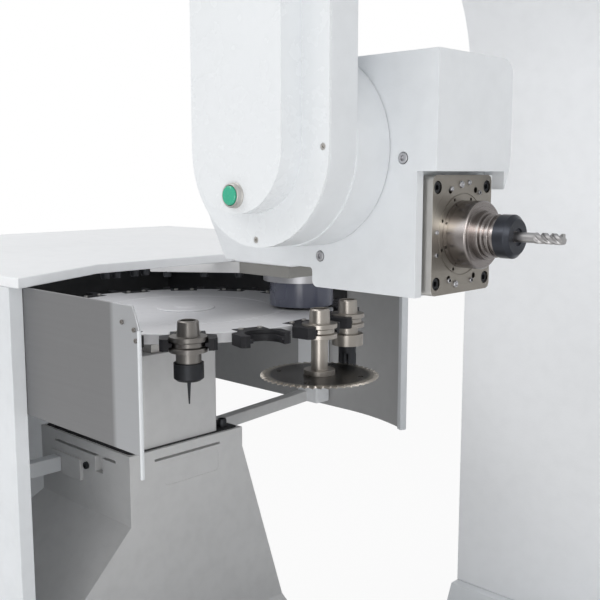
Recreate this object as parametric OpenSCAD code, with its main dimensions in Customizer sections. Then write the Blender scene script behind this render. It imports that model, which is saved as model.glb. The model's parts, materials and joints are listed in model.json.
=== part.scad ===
// Five-axis machining centre: a bed with a rear column, a saddle, a ram and an upright slide that carry
// a swivelling spindle head on one arm, and a carousel tool magazine beside the bed.
// X runs along the spindle, Y away from the operator, Z up, with the origin on the floor under the middle.

/* [Overall] */
// Width of the whole machine along X
machine_w = 2000; // [1980:2:2100]
// Depth of the whole machine along Y
machine_d = 1720; // [1700:2:1800]
// Height of the feet under the bed and the tray
foot_h = 60; // [45:1:80]
// Thickness of painted sheet metal
sheet_t = 3; // [2:0.5:4]

/* [Bed and table] */
// Width of the bed
bed_w = 866; // [860:2:900]
// Height of the machined top of the bed above the floor
bed_top = 690; // [660:5:710]
// Thickness of the work table
table_t = 50; // [40:1:60]
// Depth of the work table along Y
table_d = 760; // [700:10:780]
// Border between the edge of the bed and the table
table_border = 36; // [20:1:50]
// Number of locating grooves in the table
groove_n = 6; // [4:1:8]
// Width of a locating groove
groove_w = 16; // [12:1:22]
// Depth of a locating groove
groove_deep = 3.5; // [2:0.5:3.8]
// Diameter of the anchor holes in the bed's flanges
anchor_d = 18; // [14:1:22]
// Diameter of a levelling foot
foot_d = 96; // [80:2:110]

/* [Column] */
// Width of the column
col_w = 700; // [700:2:708]
// Distance from the front of the machine to the column's front face
col_front = 1096; // [1090:1:1110]
// Height of the column's top above the floor
col_top = 1960; // [1950:2:1980]
// How far the column's head reaches forward of its front face
col_over = 106; // [90:1:110]
// Radius of the hollow curve under the column's head
col_curve = 300; // [260:5:330]
// Width of a guide rail
rail_w = 34; // [30:1:38]
// Height of a guide rail
rail_h = 30; // [26:1:34]

/* [Slides] */
// Width of the saddle along X
saddle_w = 380; // [370:2:390]
// Thickness of the saddle plate
saddle_t = 64; // [56:1:72]
// Width of the ram
ram_w = 280; // [270:2:290]
// Height of the ram
ram_h = 290; // [280:2:300]
// Width of the upright slide
slide_w = 200; // [190:2:210]
// Depth of the upright slide
slide_d = 146; // [140:1:150]
// Height of the upright slide
slide_h = 760; // [750:5:790]
// Side of the square housing of the turning unit
unit_w = 272; // [262:2:276]
// Height of the housing of the turning unit
unit_h = 140; // [130:1:150]
// Diameter of the turning unit's output plate
turn_d = 224; // [216:2:228]
// Diameter of the journal on which the yoke turns
turn_shaft_d = 120; // [100:5:140]

/* [Head] */
// Distance from the left side of the machine to the turning axis of the head
head_from_left = 1332; // [1330:1:1336]
// Distance from the front of the machine to the turning axis of the head
head_from_front = 540; // [536:1:546]
// Height of the swivel axis above the floor
swivel_z = 1529; // [1525:1:1535]
// Radius of the round bearing drum on the arm
drum_r = 116; // [115:0.5:117]
// Half of the arm's width
arm_r = 114; // [110:0.5:114]
// Thickness of the arm
arm_t = 42; // [38:1:46]
// How far the drum stands off the arm
drum_t = 56; // [52:1:60]
// Distance from the turning axis to the joint face between the drum and the housing
joint_face = 77; // [76:0.5:80]
// Height of the yoke's underside above the swivel axis
yoke_up = 255; // [250:1:262]
// Thickness of the yoke plate
yoke_t = 60; // [54:1:66]
// Running gap between the drum and the housing
joint_gap = 1; // [0.8:0.1:1]
// Diameter of the swivel bearing's outer ring
swivel_bearing_d = 150; // [140:2:160]
// Diameter of the swivel shaft
swivel_shaft_d = 100; // [90:2:110]
// Thickness of the arm cover's wall
cover_t = 4; // [3:0.5:5]
// Half width of the raised part of the arm cover
raised_r = 74; // [70:1:76]
// How far the raised part stands out of the arm cover
raised_h = 36; // [30:1:40]
// Diameter of the start button's cap
button_d = 22; // [20:0.5:24]
// Travel of the start button
button_travel = 4; // [3:0.5:4.5]
// Height of the button below the swivel axis
button_down = 53; // [48:1:56]
// Reach of the housing to the left of the swivel axis
housing_left = 173; // [168:1:176]
// Reach of the housing to the right of the swivel axis
housing_right = 151; // [148:1:154]
// Reach of the housing behind the turning axis
housing_back = 124; // [120:1:128]
// Depth of the housing's lower floor below the swivel axis
housing_low = 169; // [166:1:172]
// Height of the step in the housing's floor
housing_step = 24; // [20:1:28]
// Height of the housing above the swivel axis
housing_up = 106; // [100:1:112]
// Radius of the housing's rounded lower back edge
housing_curve = 84; // [70:2:90]

/* [Spindle] */
// Height of the spindle axis below the swivel axis
spindle_down = 99; // [98:0.5:100]
// Height of the flange plate
plate_h = 138; // [134:1:140]
// Width of the flange plate
plate_w = 121; // [118:1:126]
// Thickness of the flange plate
plate_t = 13; // [11:0.5:15]
// Depth of the recess that the flange plate sits in
plate_seat = 4; // [3:0.5:5]
// Diameter of the fixed nose ring
nose_d = 79; // [76:1:80]
// Length of the fixed nose ring
nose_l = 30; // [26:1:32]
// Diameter of the spindle shaft
shaft_d = 60; // [56:1:62]
// Outer diameter of the spindle cartridge's front part, with the front bearings and the stator
bearing_d = 100; // [96:1:104]
// Outer diameter of the spindle cartridge's rear part
rear_d = 80; // [76:1:82]
// Running clearance between a shaft and its hole, all round
run_gap = 0.05; // [0.03:0.01:0.08]
// Diameter of a tool holder's flange
flange_d = 63; // [62:0.5:64]
// Diameter of a collet nut
nut_d = 50; // [46:1:52]
// Diameter of the end mill
mill_d = 12; // [8:0.5:14]
// Length of the end mill outside the nut
mill_l = 56; // [50:1:60]

/* [Magazine] */
// Distance from the left side of the machine to the carousel's axis
carousel_from_left = 700; // [696:1:702]
// Distance from the front of the machine to the carousel's axis
carousel_from_front = 760; // [758:1:762]
// Height of the carousel disc's top above the floor
disc_z = 1235; // [1230:1:1240]
// Radius of the carousel disc
disc_r = 295; // [290:1:298]
// Thickness of the carousel disc
disc_t = 18; // [16:1:20]
// Number of tool places
place_n = 16; // [12:1:16]
// Radius of the circle on which the tools stand
place_r = 330; // [328:0.5:332]
// Angle of the first tool place
place_start = -38; // [-40:1:-36]
// Outer width of a gripper fork
fork_w = 95; // [92:1:98]
// Thickness of a gripper fork
fork_t = 20; // [18:1:22]
// Diameter of the gripping groove in a tool holder
groove_d = 53; // [52:0.5:54]
// Clearance between a fork and a tool holder
fork_gap = 0.5; // [0.3:0.1:0.8]
// Diameter of the saw blade
saw_d = 212; // [190:1:216]
// Thickness of the saw blade
saw_t = 3.2; // [2.4:0.2:4]
// Number of teeth on the saw blade
saw_teeth = 48; // [36:2:60]
// Module of the index gears
gear_module = 5; // [4.9:0.05:5.05]
// Teeth on the carousel's ring gear
ring_teeth = 78; // [76:1:80]
// Teeth on the index pinion
pinion_teeth = 15; // [14:1:16]
// Diameter of the index drive's round housing
drive_d = 128; // [122:1:132]
// Direction of the index drive, seen from the carousel's axis
drive_angle = 50; // [46:1:54]
// Height of the top of the magazine's roof above the floor
roof_z = 1350; // [1348:1:1356]
// Thickness of the magazine's roof
roof_t = 12.5; // [10:0.5:14]
// Distance from the carousel's axis to the front panel
panel_y = 469; // [466:1:474]
// Distance from the carousel's axis to the right edge of the front panel
panel_x = 228; // [220:1:236]
// Inner radius of the curved guard behind the carousel
guard_r = 494; // [492:1:500]
// Angle at which the curved guard ends
guard_end = 66; // [62:1:70]
// Height of the curved guard's lower edge above the floor
guard_z = 930; // [900:5:960]
// Distance from the carousel's axis to the front guard plate's back
shield_y = 443; // [442:0.5:446]
// Reach of the front guard plate to the right of the carousel's axis
shield_x = 455; // [440:1:456]
// Height of the front guard plate
shield_h = 200; // [180:2:204]
// Height of the pedestal's top above the floor
pedestal_z = 995; // [985:1:1005]
// Width of the pedestal's top plate
pedestal_w = 306; // [300:1:312]
// Depth of the pedestal's top plate
pedestal_d = 274; // [268:1:280]
// Thickness of the pedestal's top plate
ledge_t = 14; // [10:1:18]

/* [Hidden] */
$fn = 64;

white_paint = [0.90, 0.92, 0.93];
grey_paint = [0.62, 0.64, 0.65];
steel = [0.72, 0.71, 0.70];
black_steel = [0.10, 0.10, 0.11];
navy_paint = [0.10, 0.14, 0.28];
beige_paint = [0.70, 0.68, 0.63];
green_cap = [0.05, 0.62, 0.25];

cut = 1;
seat_gap = 0.3;
x_left = -machine_w / 2;
x_right = machine_w / 2;
y_front = -machine_d / 2;
y_back = machine_d / 2;

bed_x0 = x_right - bed_w;
bed_flange = 40;
bed_shelf = 90;
table_x0 = bed_x0 + table_border;
table_x1 = x_right - table_border;
table_y0 = y_front + table_border;

col_x0 = bed_x0;
col_x1 = col_x0 + col_w;
col_y = y_front + col_front;
col_back_top = y_back - 60;
col_pocket_w = 150;
x_rail_y = [col_y - col_over + 60, y_back - 260];
rail_gap = 0.3;
car_l = 96;
car_w = 84;
car_h = rail_h + 12;
x_motor_w = 130;

head_x = x_left + head_from_left;
head_y = y_front + head_from_front;
saddle_z = col_top + car_h;
saddle_y0 = col_y - col_over;
saddle_y1 = y_back - 170;
ram_z = saddle_z + saddle_t + car_h;
ram_y0 = head_y + slide_d / 2 + rail_h + 75;
ram_y1 = y_back;
carrier_t = 40;
y_rail_x = ram_w / 2 - rail_w;
y_car_at = [saddle_y0 + 70, saddle_y1 - 170];
turn_gap = 1;
turn_collar = 20;
turn_journal = 44;
unit_z = swivel_z + yoke_up + yoke_t + turn_gap + turn_collar;
slide_z = unit_z + unit_h;
slide_y1 = head_y + slide_d / 2;
z_rail_x = slide_w / 2 - rail_w;
z_rail_l = slide_h - 20;
carrier_y0 = slide_y1 + car_h;
z_car_at = [ram_z + 20, ram_z + ram_h - car_l - 10];

joint_y = head_y - joint_face;
drum_y = joint_y - joint_gap;
arm_y1 = drum_y - drum_t + joint_gap;
arm_y0 = arm_y1 - arm_t;
yoke_z = swivel_z + yoke_up;
cover_y = arm_y0 - cover_t;
raised_y = cover_y - raised_h + cover_t;
cover_top = yoke_up + yoke_t;
swivel_depth = drum_t + 20;
bezel_d = button_d + 8;
bezel_t = 5;
stem_d = 12;
button_proud = 9;
cover_screw_d = 8;
cover_screw_r = (arm_r + raised_r) / 2 + 11;
cover_screw_at = [[head_x - cover_screw_r, swivel_z], [head_x + cover_screw_r, swivel_z],
    [head_x, swivel_z - cover_screw_r], [head_x - cover_screw_r, swivel_z + cover_top - 30],
    [head_x + cover_screw_r, swivel_z + cover_top - 30]];

housing_x1 = head_x + housing_right;
spindle_z = swivel_z - spindle_down;
plate_x1 = housing_x1 + plate_t;
plate_x0 = housing_x1 - plate_seat;
plate_gap = 3;
rotor_inset = 40;
nose_x1 = plate_x1 + nose_l;
shaft_x1 = nose_x1 + 8;
bolt_inset_y = 10;
bolt_inset_z = 14;
holder_flange_l = 11;
holder_neck_l = 6;
nut_l = 19;
bolt_head_d = 13;
counterbore_d = bolt_head_d + 2;
counterbore_deep = 8.6;
pitch_circle_r = 43.5;
step_x = head_x - 6;
cartridge_step = step_x + 10;
housing_bolt_at = [[head_x + drum_r + 18, swivel_z - 34], [step_x + 12, swivel_z - drum_r - 18]];

carousel_x = x_left + carousel_from_left;
carousel_y = y_front + carousel_from_front;
place_step = 360 / place_n;
fork_z = disc_z - fork_t / 2;
lip_t = 6;
root_t = 10;
root_w = 60;
root_r = disc_r - 27;
shank_d = 38;
shank_l = 26;
flange_t = 26;
groove_t = lip_t + 2 * fork_gap;
holder_top = fork_z + flange_t / 2;
holder_low = fork_z - flange_t / 2;
drill_low = fork_z - 80;
drill_nut_h = 30;
drill_out = 44;
saw_z = fork_z - 130;
cutter_low = fork_z - 90;
ring_h = 18;
pinion_h = 16;
gear_backlash = 0.5;
gear_reach = (ring_teeth + pinion_teeth) * gear_module / 2 + gear_backlash;
drive_x = carousel_x + gear_reach * cos(drive_angle);
drive_y = carousel_y + gear_reach * sin(drive_angle);
drive_low = disc_z + 5;
drive_top = roof_z - roof_t - 48;
drive_flange_t = 23;
roof_low = roof_z - roof_t;
panel_plane = carousel_y - panel_y;
rear_plane = carousel_y + guard_r;
shield_screw_at = [[carousel_x + shield_x - 36, roof_low - 40],
    [carousel_x + shield_x - 12, roof_low - 60], [carousel_x + shield_x - 14, roof_low - 74]];
tray_h = 80;
tray_floor = foot_h + 8;
post_w = 48;
post_x = carousel_x - 50;
rail_tube = 45;
boss_out = 20;
brace_x = carousel_x - 45;
pedestal_x0 = carousel_x - 214;
pedestal_y0 = carousel_y - 208;
pedestal_flare = 150;
neck_t = 14;
neck_in = 10;
brace_z = pedestal_z - ledge_t - neck_t - 30;
rail_z = pedestal_z - ledge_t - neck_t - 60;
carcol_x0 = carousel_x - 150;
carcol_x1 = carousel_x + 80;
carcol_y0 = carousel_y - 168;
carcol_y1 = carousel_y + 12;
housing_h = 44;
hub_d = 150;
hub_shaft_d = 70;
hub_stub_d = 40;
carcol_top = disc_z - disc_t - 1 - housing_h;

// Points on an arc about a centre, from one angle to another
function arc_pts(cx, cy, r, a0, a1, n) =
    [for (i = [0:n]) let (a = a0 + (a1 - a0) * i / n) [cx + r * cos(a), cy + r * sin(a)]];

// Outline of a rectangle with round corners
function round_rect(x0, y0, x1, y1, r, n = 6) = concat(
    arc_pts(x1 - r, y1 - r, r, 0, 90, n), arc_pts(x0 + r, y1 - r, r, 90, 180, n),
    arc_pts(x0 + r, y0 + r, r, 180, 270, n), arc_pts(x1 - r, y0 + r, r, 270, 360, n));

// Outline of a gear with straight flanks that lean by the pressure angle
function gear_pts(teeth, module_mm, play) = [
    for (i = [0:teeth - 1])
    let (rp = teeth * module_mm / 2, pitch = 360 / teeth, lean = tan(20) * 180 / PI / rp)
    let (half = pitch / 4 - play / rp * 90 / PI, ro = rp + 0.8 * module_mm, ri = rp - 1.15 * module_mm)
    let (top = half - lean * 0.8 * module_mm, low = half + lean * 1.15 * module_mm)
    for (p = [[ri, -low], [ro, -top], [ro, top], [ri, low]])
    let (a = i * pitch + p[1]) [p[0] * cos(a), p[0] * sin(a)]];

// A box between two corners
module block(x0, x1, y0, y1, z0, z1) {
    translate([x0, y0, z0])
        cube([x1 - x0, y1 - y0, z1 - z0]);
}

// Carries an outline of Y and Z along X
module along_x(x0, x1) {
    translate([x0, 0, 0])
        rotate([90, 0, 90])
            linear_extrude(x1 - x0)
                children();
}

// Carries an outline of X and Z along Y
module along_y(y0, y1) {
    translate([0, y1, 0])
        rotate([90, 0, 0])
            linear_extrude(y1 - y0)
                children();
}

// A round bar along X, its end faces at x0 and x1
module bar_x(d, x0, x1) {
    translate([x0, 0, 0])
        rotate([0, 90, 0])
            cylinder(d = d, h = x1 - x0);
}

// A round bar along Y, its end faces at y0 and y1
module bar_y(d, y0, y1) {
    translate([0, y1, 0])
        rotate([90, 0, 0])
            cylinder(d = d, h = y1 - y0);
}

// A socket head screw that stands on the plane z = 0, its hexagon hole on top
module socket_head(d, h) {
    difference() {
        cylinder(d = d, h = h);
        translate([0, 0, h * 0.45])
            cylinder(d = d * 0.55, h = h, $fn = 6);
    }
}

// The bed: one casting with a table seat, a chip slope, a seat for the column and anchor flanges
module bed() {
    table_y1 = table_y0 + table_d;
    pocket_z0 = foot_h + 130;
    pocket_z1 = bed_top - 120;
    color(white_paint)
        difference() {
            along_x(bed_x0, x_right)
                polygon([[y_front, foot_h], [y_front, bed_top - 24], [y_front + 24, bed_top],
                    [table_y1 + 20, bed_top], [table_y1 + 70, bed_top - bed_shelf],
                    [col_y - 60, bed_top - bed_shelf], [col_y - 20, bed_top],
                    [y_back, bed_top], [y_back, foot_h]]);
            // chip door recess in the front, with round upper corners
            along_y(y_front - cut, y_front + 60)
                polygon(concat([[bed_x0 + 160, foot_h - cut]],
                    arc_pts(bed_x0 + 220, pocket_z1 - 60, 60, 180, 90, 6),
                    arc_pts(x_right - 220, pocket_z1 - 60, 60, 90, 0, 6),
                    [[x_right - 160, foot_h - cut]]));
            // lightened side walls between the ribs
            for (i = [0:4]) {
                pocket_y = y_front + 110 + i * (machine_d - 200) / 5;
                along_x(x_right - 24, x_right + cut)
                    polygon(round_rect(pocket_y, pocket_z0, pocket_y + 170, pocket_z1, 24));
            }
            // anchor holes through the lower flange corners
            for (x = [bed_x0 + bed_flange, x_right - bed_flange])
                for (y = [y_front + bed_flange, y_back - bed_flange])
                    translate([x, y, foot_h - cut])
                        cylinder(d = anchor_d, h = 40 + cut);
            // pockets that open the flange above each anchor hole to the side
            for (y = [y_front + bed_flange, y_back - bed_flange]) {
                block(bed_x0 - cut, bed_x0 + 2 * bed_flange, y - bed_flange - cut, y + bed_flange,
                    foot_h + 40, foot_h + 130);
                block(x_right - 2 * bed_flange, x_right + cut, y - bed_flange - cut, y + bed_flange + cut,
                    foot_h + 40, foot_h + 130);
            }
        }
}

// The work table: a ground plate with locating grooves and a bevelled rim
module work_table() {
    table_y1 = table_y0 + table_d;
    groove_step = table_d / groove_n;
    bevel = 6;
    color(steel)
        difference() {
            along_x(table_x0, table_x1)
                polygon([[table_y0, bed_top], [table_y0, bed_top + table_t - bevel],
                    [table_y0 + bevel, bed_top + table_t], [table_y1 - bevel, bed_top + table_t],
                    [table_y1, bed_top + table_t - bevel], [table_y1, bed_top]]);
            for (i = [0:groove_n - 1]) {
                groove_y = table_y0 + (i + 0.5) * groove_step;
                block(table_x0 - cut, table_x1 + cut, groove_y - groove_w / 2, groove_y + groove_w / 2,
                    bed_top + table_t - groove_deep, bed_top + table_t + cut);
            }
        }
}

// One levelling foot: a round pad, a ball neck and a stem up to the frame
module foot(x, y) {
    translate([x, y, 0])
        rotate_extrude()
            polygon([[0, 0], [foot_d / 2, 0], [foot_d / 2, 10], [foot_d / 2 - 8, 18],
                [22, 24], [14, 30], [14, foot_h], [0, foot_h]]);
}

module levelling_feet() {
    color(black_steel) {
        for (x = [bed_x0 + 140, x_right - 140])
            for (y = [y_front + 90, 0, y_back - 90])
                foot(x, y);
        for (x = [x_left + 90, bed_x0 - 90])
            for (y = [panel_plane + 90, rear_plane - 90])
                foot(x, y);
    }
}

// The column: a casting whose front curves forward under the rails, with pockets in its back
module column() {
    curve_a = acos(1 - col_over / col_curve);
    curve_z0 = col_top - 60 - col_curve * sin(curve_a);
    color(white_paint)
        difference() {
            along_x(col_x0, col_x1)
                polygon(concat([[col_y, bed_top]],
                    arc_pts(col_y - col_curve, curve_z0, col_curve, 0, curve_a, 12),
                    [[col_y - col_over, col_top], [y_back - 150, col_top],
                    [y_back - 150, col_top - 220], [col_back_top, col_top - 560],
                    [y_back - 8, bed_top + 60], [y_back - 8, bed_top]]));
            for (i = [0:2])
                for (z = [bed_top + 120, bed_top + 420]) {
                    pocket_x = col_x0 + (i + 0.5) * col_w / 3 - col_pocket_w / 2;
                    along_y(y_back - 100, y_back + cut)
                        polygon(round_rect(pocket_x, z, pocket_x + col_pocket_w, z + 240, 20));
                }
        }
}

// One profiled guide rail along X with waisted sides, standing on z = 0
module rail(length) {
    waist = 3;
    along_x(0, length)
        polygon([[-rail_w / 2, 0], [rail_w / 2, 0], [rail_w / 2, rail_h * 0.35],
            [rail_w / 2 - waist, rail_h * 0.5], [rail_w / 2 - waist, rail_h * 0.7],
            [rail_w / 2, rail_h * 0.85], [rail_w / 2, rail_h], [-rail_w / 2, rail_h],
            [-rail_w / 2, rail_h * 0.85], [-rail_w / 2 + waist, rail_h * 0.7],
            [-rail_w / 2 + waist, rail_h * 0.5], [-rail_w / 2, rail_h * 0.35]]);
}

// One ball carriage that straddles a rail along X, its rail standing on z = 0
module carriage() {
    half = rail_w / 2 + rail_gap;
    low = 6;
    along_x(-car_l / 2, car_l / 2)
        polygon([[-car_w / 2, low], [-half, low], [-half, rail_h + rail_gap], [half, rail_h + rail_gap],
            [half, low], [car_w / 2, low], [car_w / 2, car_h - 6], [car_w / 2 - 6, car_h],
            [-car_w / 2 + 6, car_h], [-car_w / 2, car_h - 6]]);
}

module x_rails() {
    color(steel)
        for (y = x_rail_y)
            translate([col_x0 + 10, y, col_top])
                rail(col_w - 20);
}

// The saddle's eight ball carriages: four on the X rails, four that face up to the ram's rails
module saddle_carriages() {
    color(black_steel) {
        for (x = [head_x - saddle_w / 2 + 60, head_x + saddle_w / 2 - 60])
            for (y = x_rail_y)
                translate([x, y, col_top])
                    carriage();
        for (side = [-1, 1])
            for (y = y_car_at)
                translate([head_x + side * y_rail_x, y, ram_z])
                    rotate([180, 0, 90])
                        carriage();
    }
}

// The X drive: a square motor body with a round nose on the column's right side
module x_motor() {
    motor_z = col_top - 120;
    motor_y = saddle_y0 + 250;
    color(black_steel)
        translate([0, motor_y, motor_z]) {
            bar_x(x_motor_w * 0.75, col_x1, col_x1 + 24);
            along_x(col_x1 + 24, col_x1 + 44)
                polygon(round_rect(-x_motor_w / 2, -x_motor_w / 2, x_motor_w / 2, x_motor_w / 2, 16));
            along_x(col_x1 + 44, col_x1 + 136)
                polygon(round_rect(-x_motor_w / 2 + 6, -x_motor_w / 2 + 6, x_motor_w / 2 - 6,
                    x_motor_w / 2 - 6, 18));
            translate([col_x1 + 90, 0, x_motor_w / 2 - 6])
                cylinder(d = 36, h = 26);
        }
}

// The saddle: a ribbed plate on the X carriages that carries the ram's carriages
module saddle() {
    color(white_paint)
        difference() {
            translate([0, 0, saddle_z])
                linear_extrude(saddle_t)
                    polygon(round_rect(head_x - saddle_w / 2, saddle_y0, head_x + saddle_w / 2,
                        saddle_y1, 30));
            // long shallow channel between the ram's carriages
            along_y(saddle_y0 - cut, saddle_y1 + cut)
                polygon([[head_x - 60, saddle_z + saddle_t + cut], [head_x - 48, saddle_z + saddle_t - 20],
                    [head_x + 48, saddle_z + saddle_t - 20], [head_x + 60, saddle_z + saddle_t + cut]]);
        }
}

module y_rails() {
    color(steel)
        for (side = [-1, 1])
            translate([head_x + side * y_rail_x, ram_y0 + 10, ram_z])
                rotate([180, 0, 90])
                    rail(ram_y1 - ram_y0 - 20);
}

// The ram: a bevelled box casting with side recesses and a broad front plate for the upright carriages
module ram() {
    bevel = 26;
    recess = 12;
    color(white_paint)
        difference() {
            union() {
                along_y(carrier_y0 + carrier_t, ram_y1)
                    polygon([[head_x - ram_w / 2, ram_z], [head_x + ram_w / 2, ram_z],
                        [head_x + ram_w / 2, ram_z + ram_h - bevel],
                        [head_x + ram_w / 2 - bevel, ram_z + ram_h],
                        [head_x - ram_w / 2 + bevel, ram_z + ram_h],
                        [head_x - ram_w / 2, ram_z + ram_h - bevel]]);
                along_y(carrier_y0, carrier_y0 + carrier_t)
                    polygon(round_rect(head_x - ram_w / 2, ram_z, head_x + ram_w / 2,
                        ram_z + ram_h + 30, 20));
            }
            for (side = [-1, 1])
                for (i = [0:3]) {
                    wall_x = head_x + side * ram_w / 2;
                    pocket_y = ram_y0 + 130 + i * 210;
                    along_x(wall_x - recess, wall_x + recess)
                        polygon(round_rect(pocket_y, ram_z + 50, pocket_y + 165, ram_z + ram_h - 70, 20));
                }
        }
}

module z_carriages() {
    color(black_steel)
        for (side = [-1, 1])
            for (z = z_car_at)
                translate([head_x + side * z_rail_x, slide_y1, z + car_l / 2])
                    rotate([-90, 90, 0])
                        carriage();
}

// The upright slide: a tapered box with a bevelled front, a foot flange and a motor on its top
module upright_slide() {
    bevel = 24;
    color(white_paint)
        difference() {
            union() {
                translate([0, 0, slide_z])
                    linear_extrude(slide_h)
                        polygon([[head_x - slide_w / 2, slide_y1], [head_x + slide_w / 2, slide_y1],
                            [head_x + slide_w / 2, slide_y1 - slide_d + bevel],
                            [head_x + slide_w / 2 - bevel, slide_y1 - slide_d],
                            [head_x - slide_w / 2 + bevel, slide_y1 - slide_d],
                            [head_x - slide_w / 2, slide_y1 - slide_d + bevel]]);
                translate([0, 0, slide_z])
                    linear_extrude(22)
                        polygon(round_rect(head_x - unit_w / 2, head_y - unit_w / 2,
                            head_x + unit_w / 2, slide_y1, 18));
            }
            along_y(slide_y1 - slide_d - cut, slide_y1 - slide_d + 5)
                polygon(round_rect(head_x - slide_w / 2 + 44, slide_z + 90, head_x + slide_w / 2 - 44,
                    slide_z + slide_h - 80, 22));
        }
}

module z_rails() {
    color(steel)
        for (side = [-1, 1])
            translate([head_x + side * z_rail_x, slide_y1, slide_z + 22 + 8])
                rotate([-90, -90, 0])
                    rail(z_rail_l - 30);
}

// The turning unit: a square drive housing with a round collar below it, bored for the yoke's journal
module turning_unit() {
    color(white_paint)
        difference() {
            union() {
                translate([0, 0, unit_z])
                    linear_extrude(unit_h)
                        polygon(round_rect(head_x - unit_w / 2, head_y - unit_w / 2, head_x + unit_w / 2,
                            head_y + unit_w / 2, 30));
                translate([head_x, head_y, unit_z - turn_collar])
                    cylinder(d = turn_d, h = turn_collar);
            }
            translate([head_x, head_y, unit_z - turn_collar - cut])
                cylinder(d = turn_shaft_d + 2 * run_gap, h = turn_journal + 2 * cut);
        }
}

// Outline of a U that is open upwards, round below the swivel axis
function u_outline(r, top, n) = concat(
    [[head_x + r, swivel_z + top]], [[head_x - r, swivel_z + top]],
    arc_pts(head_x, swivel_z, r, 180, 360, n));

// The yoke: one casting with a journal and a round plate under the turning unit, one arm down its front
// and the swivel bearing's drum
module yoke_arm() {
    bore_y0 = joint_y - swivel_depth;
    fillet = 38;
    color(white_paint)
        difference() {
            union() {
                translate([head_x, head_y, yoke_z])
                    cylinder(d = turn_d, h = yoke_t);
                translate([head_x, head_y, yoke_z + yoke_t - cut])
                    cylinder(d = turn_shaft_d, h = turn_journal);
                block(head_x - arm_r, head_x + arm_r, arm_y0, head_y, yoke_z, yoke_z + yoke_t);
                along_y(arm_y0, arm_y1)
                    polygon(u_outline(arm_r, yoke_up + cut, 24));
                // hollow curve between the arm and the plate
                along_x(head_x - arm_r, head_x + arm_r)
                    polygon(concat([[arm_y1 - cut, yoke_z + cut], [arm_y1 - cut, yoke_z - fillet]],
                        arc_pts(arm_y1 + fillet, yoke_z - fillet, fillet, 180, 90, 8),
                        [[arm_y1 + fillet, yoke_z + cut]]));
                translate([head_x, 0, swivel_z])
                    bar_y(2 * drum_r, arm_y1 - cut, drum_y);
            }
            translate([head_x, 0, swivel_z])
                bar_y(swivel_bearing_d + 2 * run_gap, bore_y0, drum_y + cut);
        }
}

// The arm cover: a thin U plate with a raised, hollow U on it, moulded as one piece
module arm_cover() {
    inner = raised_r - cover_t;
    color(white_paint)
        difference() {
            union() {
                along_y(cover_y, arm_y0)
                    polygon(u_outline(arm_r, cover_top, 24));
                along_y(raised_y, cover_y + cut)
                    polygon(u_outline(raised_r, cover_top, 24));
            }
            along_y(raised_y + cover_t, arm_y0 + cut)
                polygon(u_outline(inner, cover_top - cover_t, 24));
            translate([head_x, 0, swivel_z - button_down])
                bar_y(stem_d + 2 * run_gap, raised_y - cut, raised_y + cover_t + cut);
            for (p = cover_screw_at)
                translate([p[0], 0, p[1]])
                    bar_y(cover_screw_d, cover_y - cut, arm_y0 + cut);
        }
}

module cover_screws() {
    color(black_steel)
        for (p = cover_screw_at)
            translate([p[0], arm_y0, p[1]])
                rotate([90, 0, 0])
                    socket_head(cover_screw_d - 2 * run_gap, cover_t - 0.4);
}

// The button's bezel: a turned ring on the raised cover
module button_bezel() {
    lip = 1.2;
    color(steel)
        translate([head_x, raised_y, swivel_z - button_down])
            rotate([90, 0, 0])
                rotate_extrude()
                    polygon([[button_d / 2 + run_gap, 0], [bezel_d / 2, 0], [bezel_d / 2, bezel_t - lip],
                        [bezel_d / 2 - lip, bezel_t], [button_d / 2 + run_gap, bezel_t]]);
}

// The start button: a domed cap on a stem that runs through the cover to the switch
module start_button() {
    cap_low = button_travel + 0.5;
    stem_end = raised_y + cover_t + 12;
    color(green_cap)
        translate([head_x, 0, swivel_z - button_down]) {
            translate([0, raised_y, 0])
                rotate([90, 0, 0])
                    rotate_extrude()
                        polygon([[0, cap_low], [button_d / 2, cap_low], [button_d / 2, button_proud],
                            [button_d / 2 - 1.5, button_proud + 1.3], [0, button_proud + 1.8]]);
            bar_y(stem_d, raised_y - cap_low, stem_end);
        }
}

module swivel_bearing() {
    bore_y0 = joint_y - swivel_depth;
    color(steel)
        difference() {
            translate([head_x, 0, swivel_z])
                bar_y(swivel_bearing_d, bore_y0, drum_y - 6);
            translate([head_x, 0, swivel_z])
                bar_y(swivel_shaft_d + 2 * run_gap, bore_y0 - cut, drum_y + cut);
        }
}

// Outline of the housing seen from the front: two floor levels joined by a step with round corners
function housing_outline() = let (x0 = head_x - housing_left, x1 = housing_x1, low = swivel_z - housing_low,
    mid = low + housing_step, top = swivel_z + housing_up) concat(
    [[x1, low], [x1, top - 16], [x1 - 16, top], [x0 + 16, top], [x0, top - 16], [x0, mid]],
    arc_pts(step_x - 5, mid - 5, 5, 90, 0, 4), arc_pts(step_x + 8, low + 8, 8, 180, 270, 4));

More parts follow.
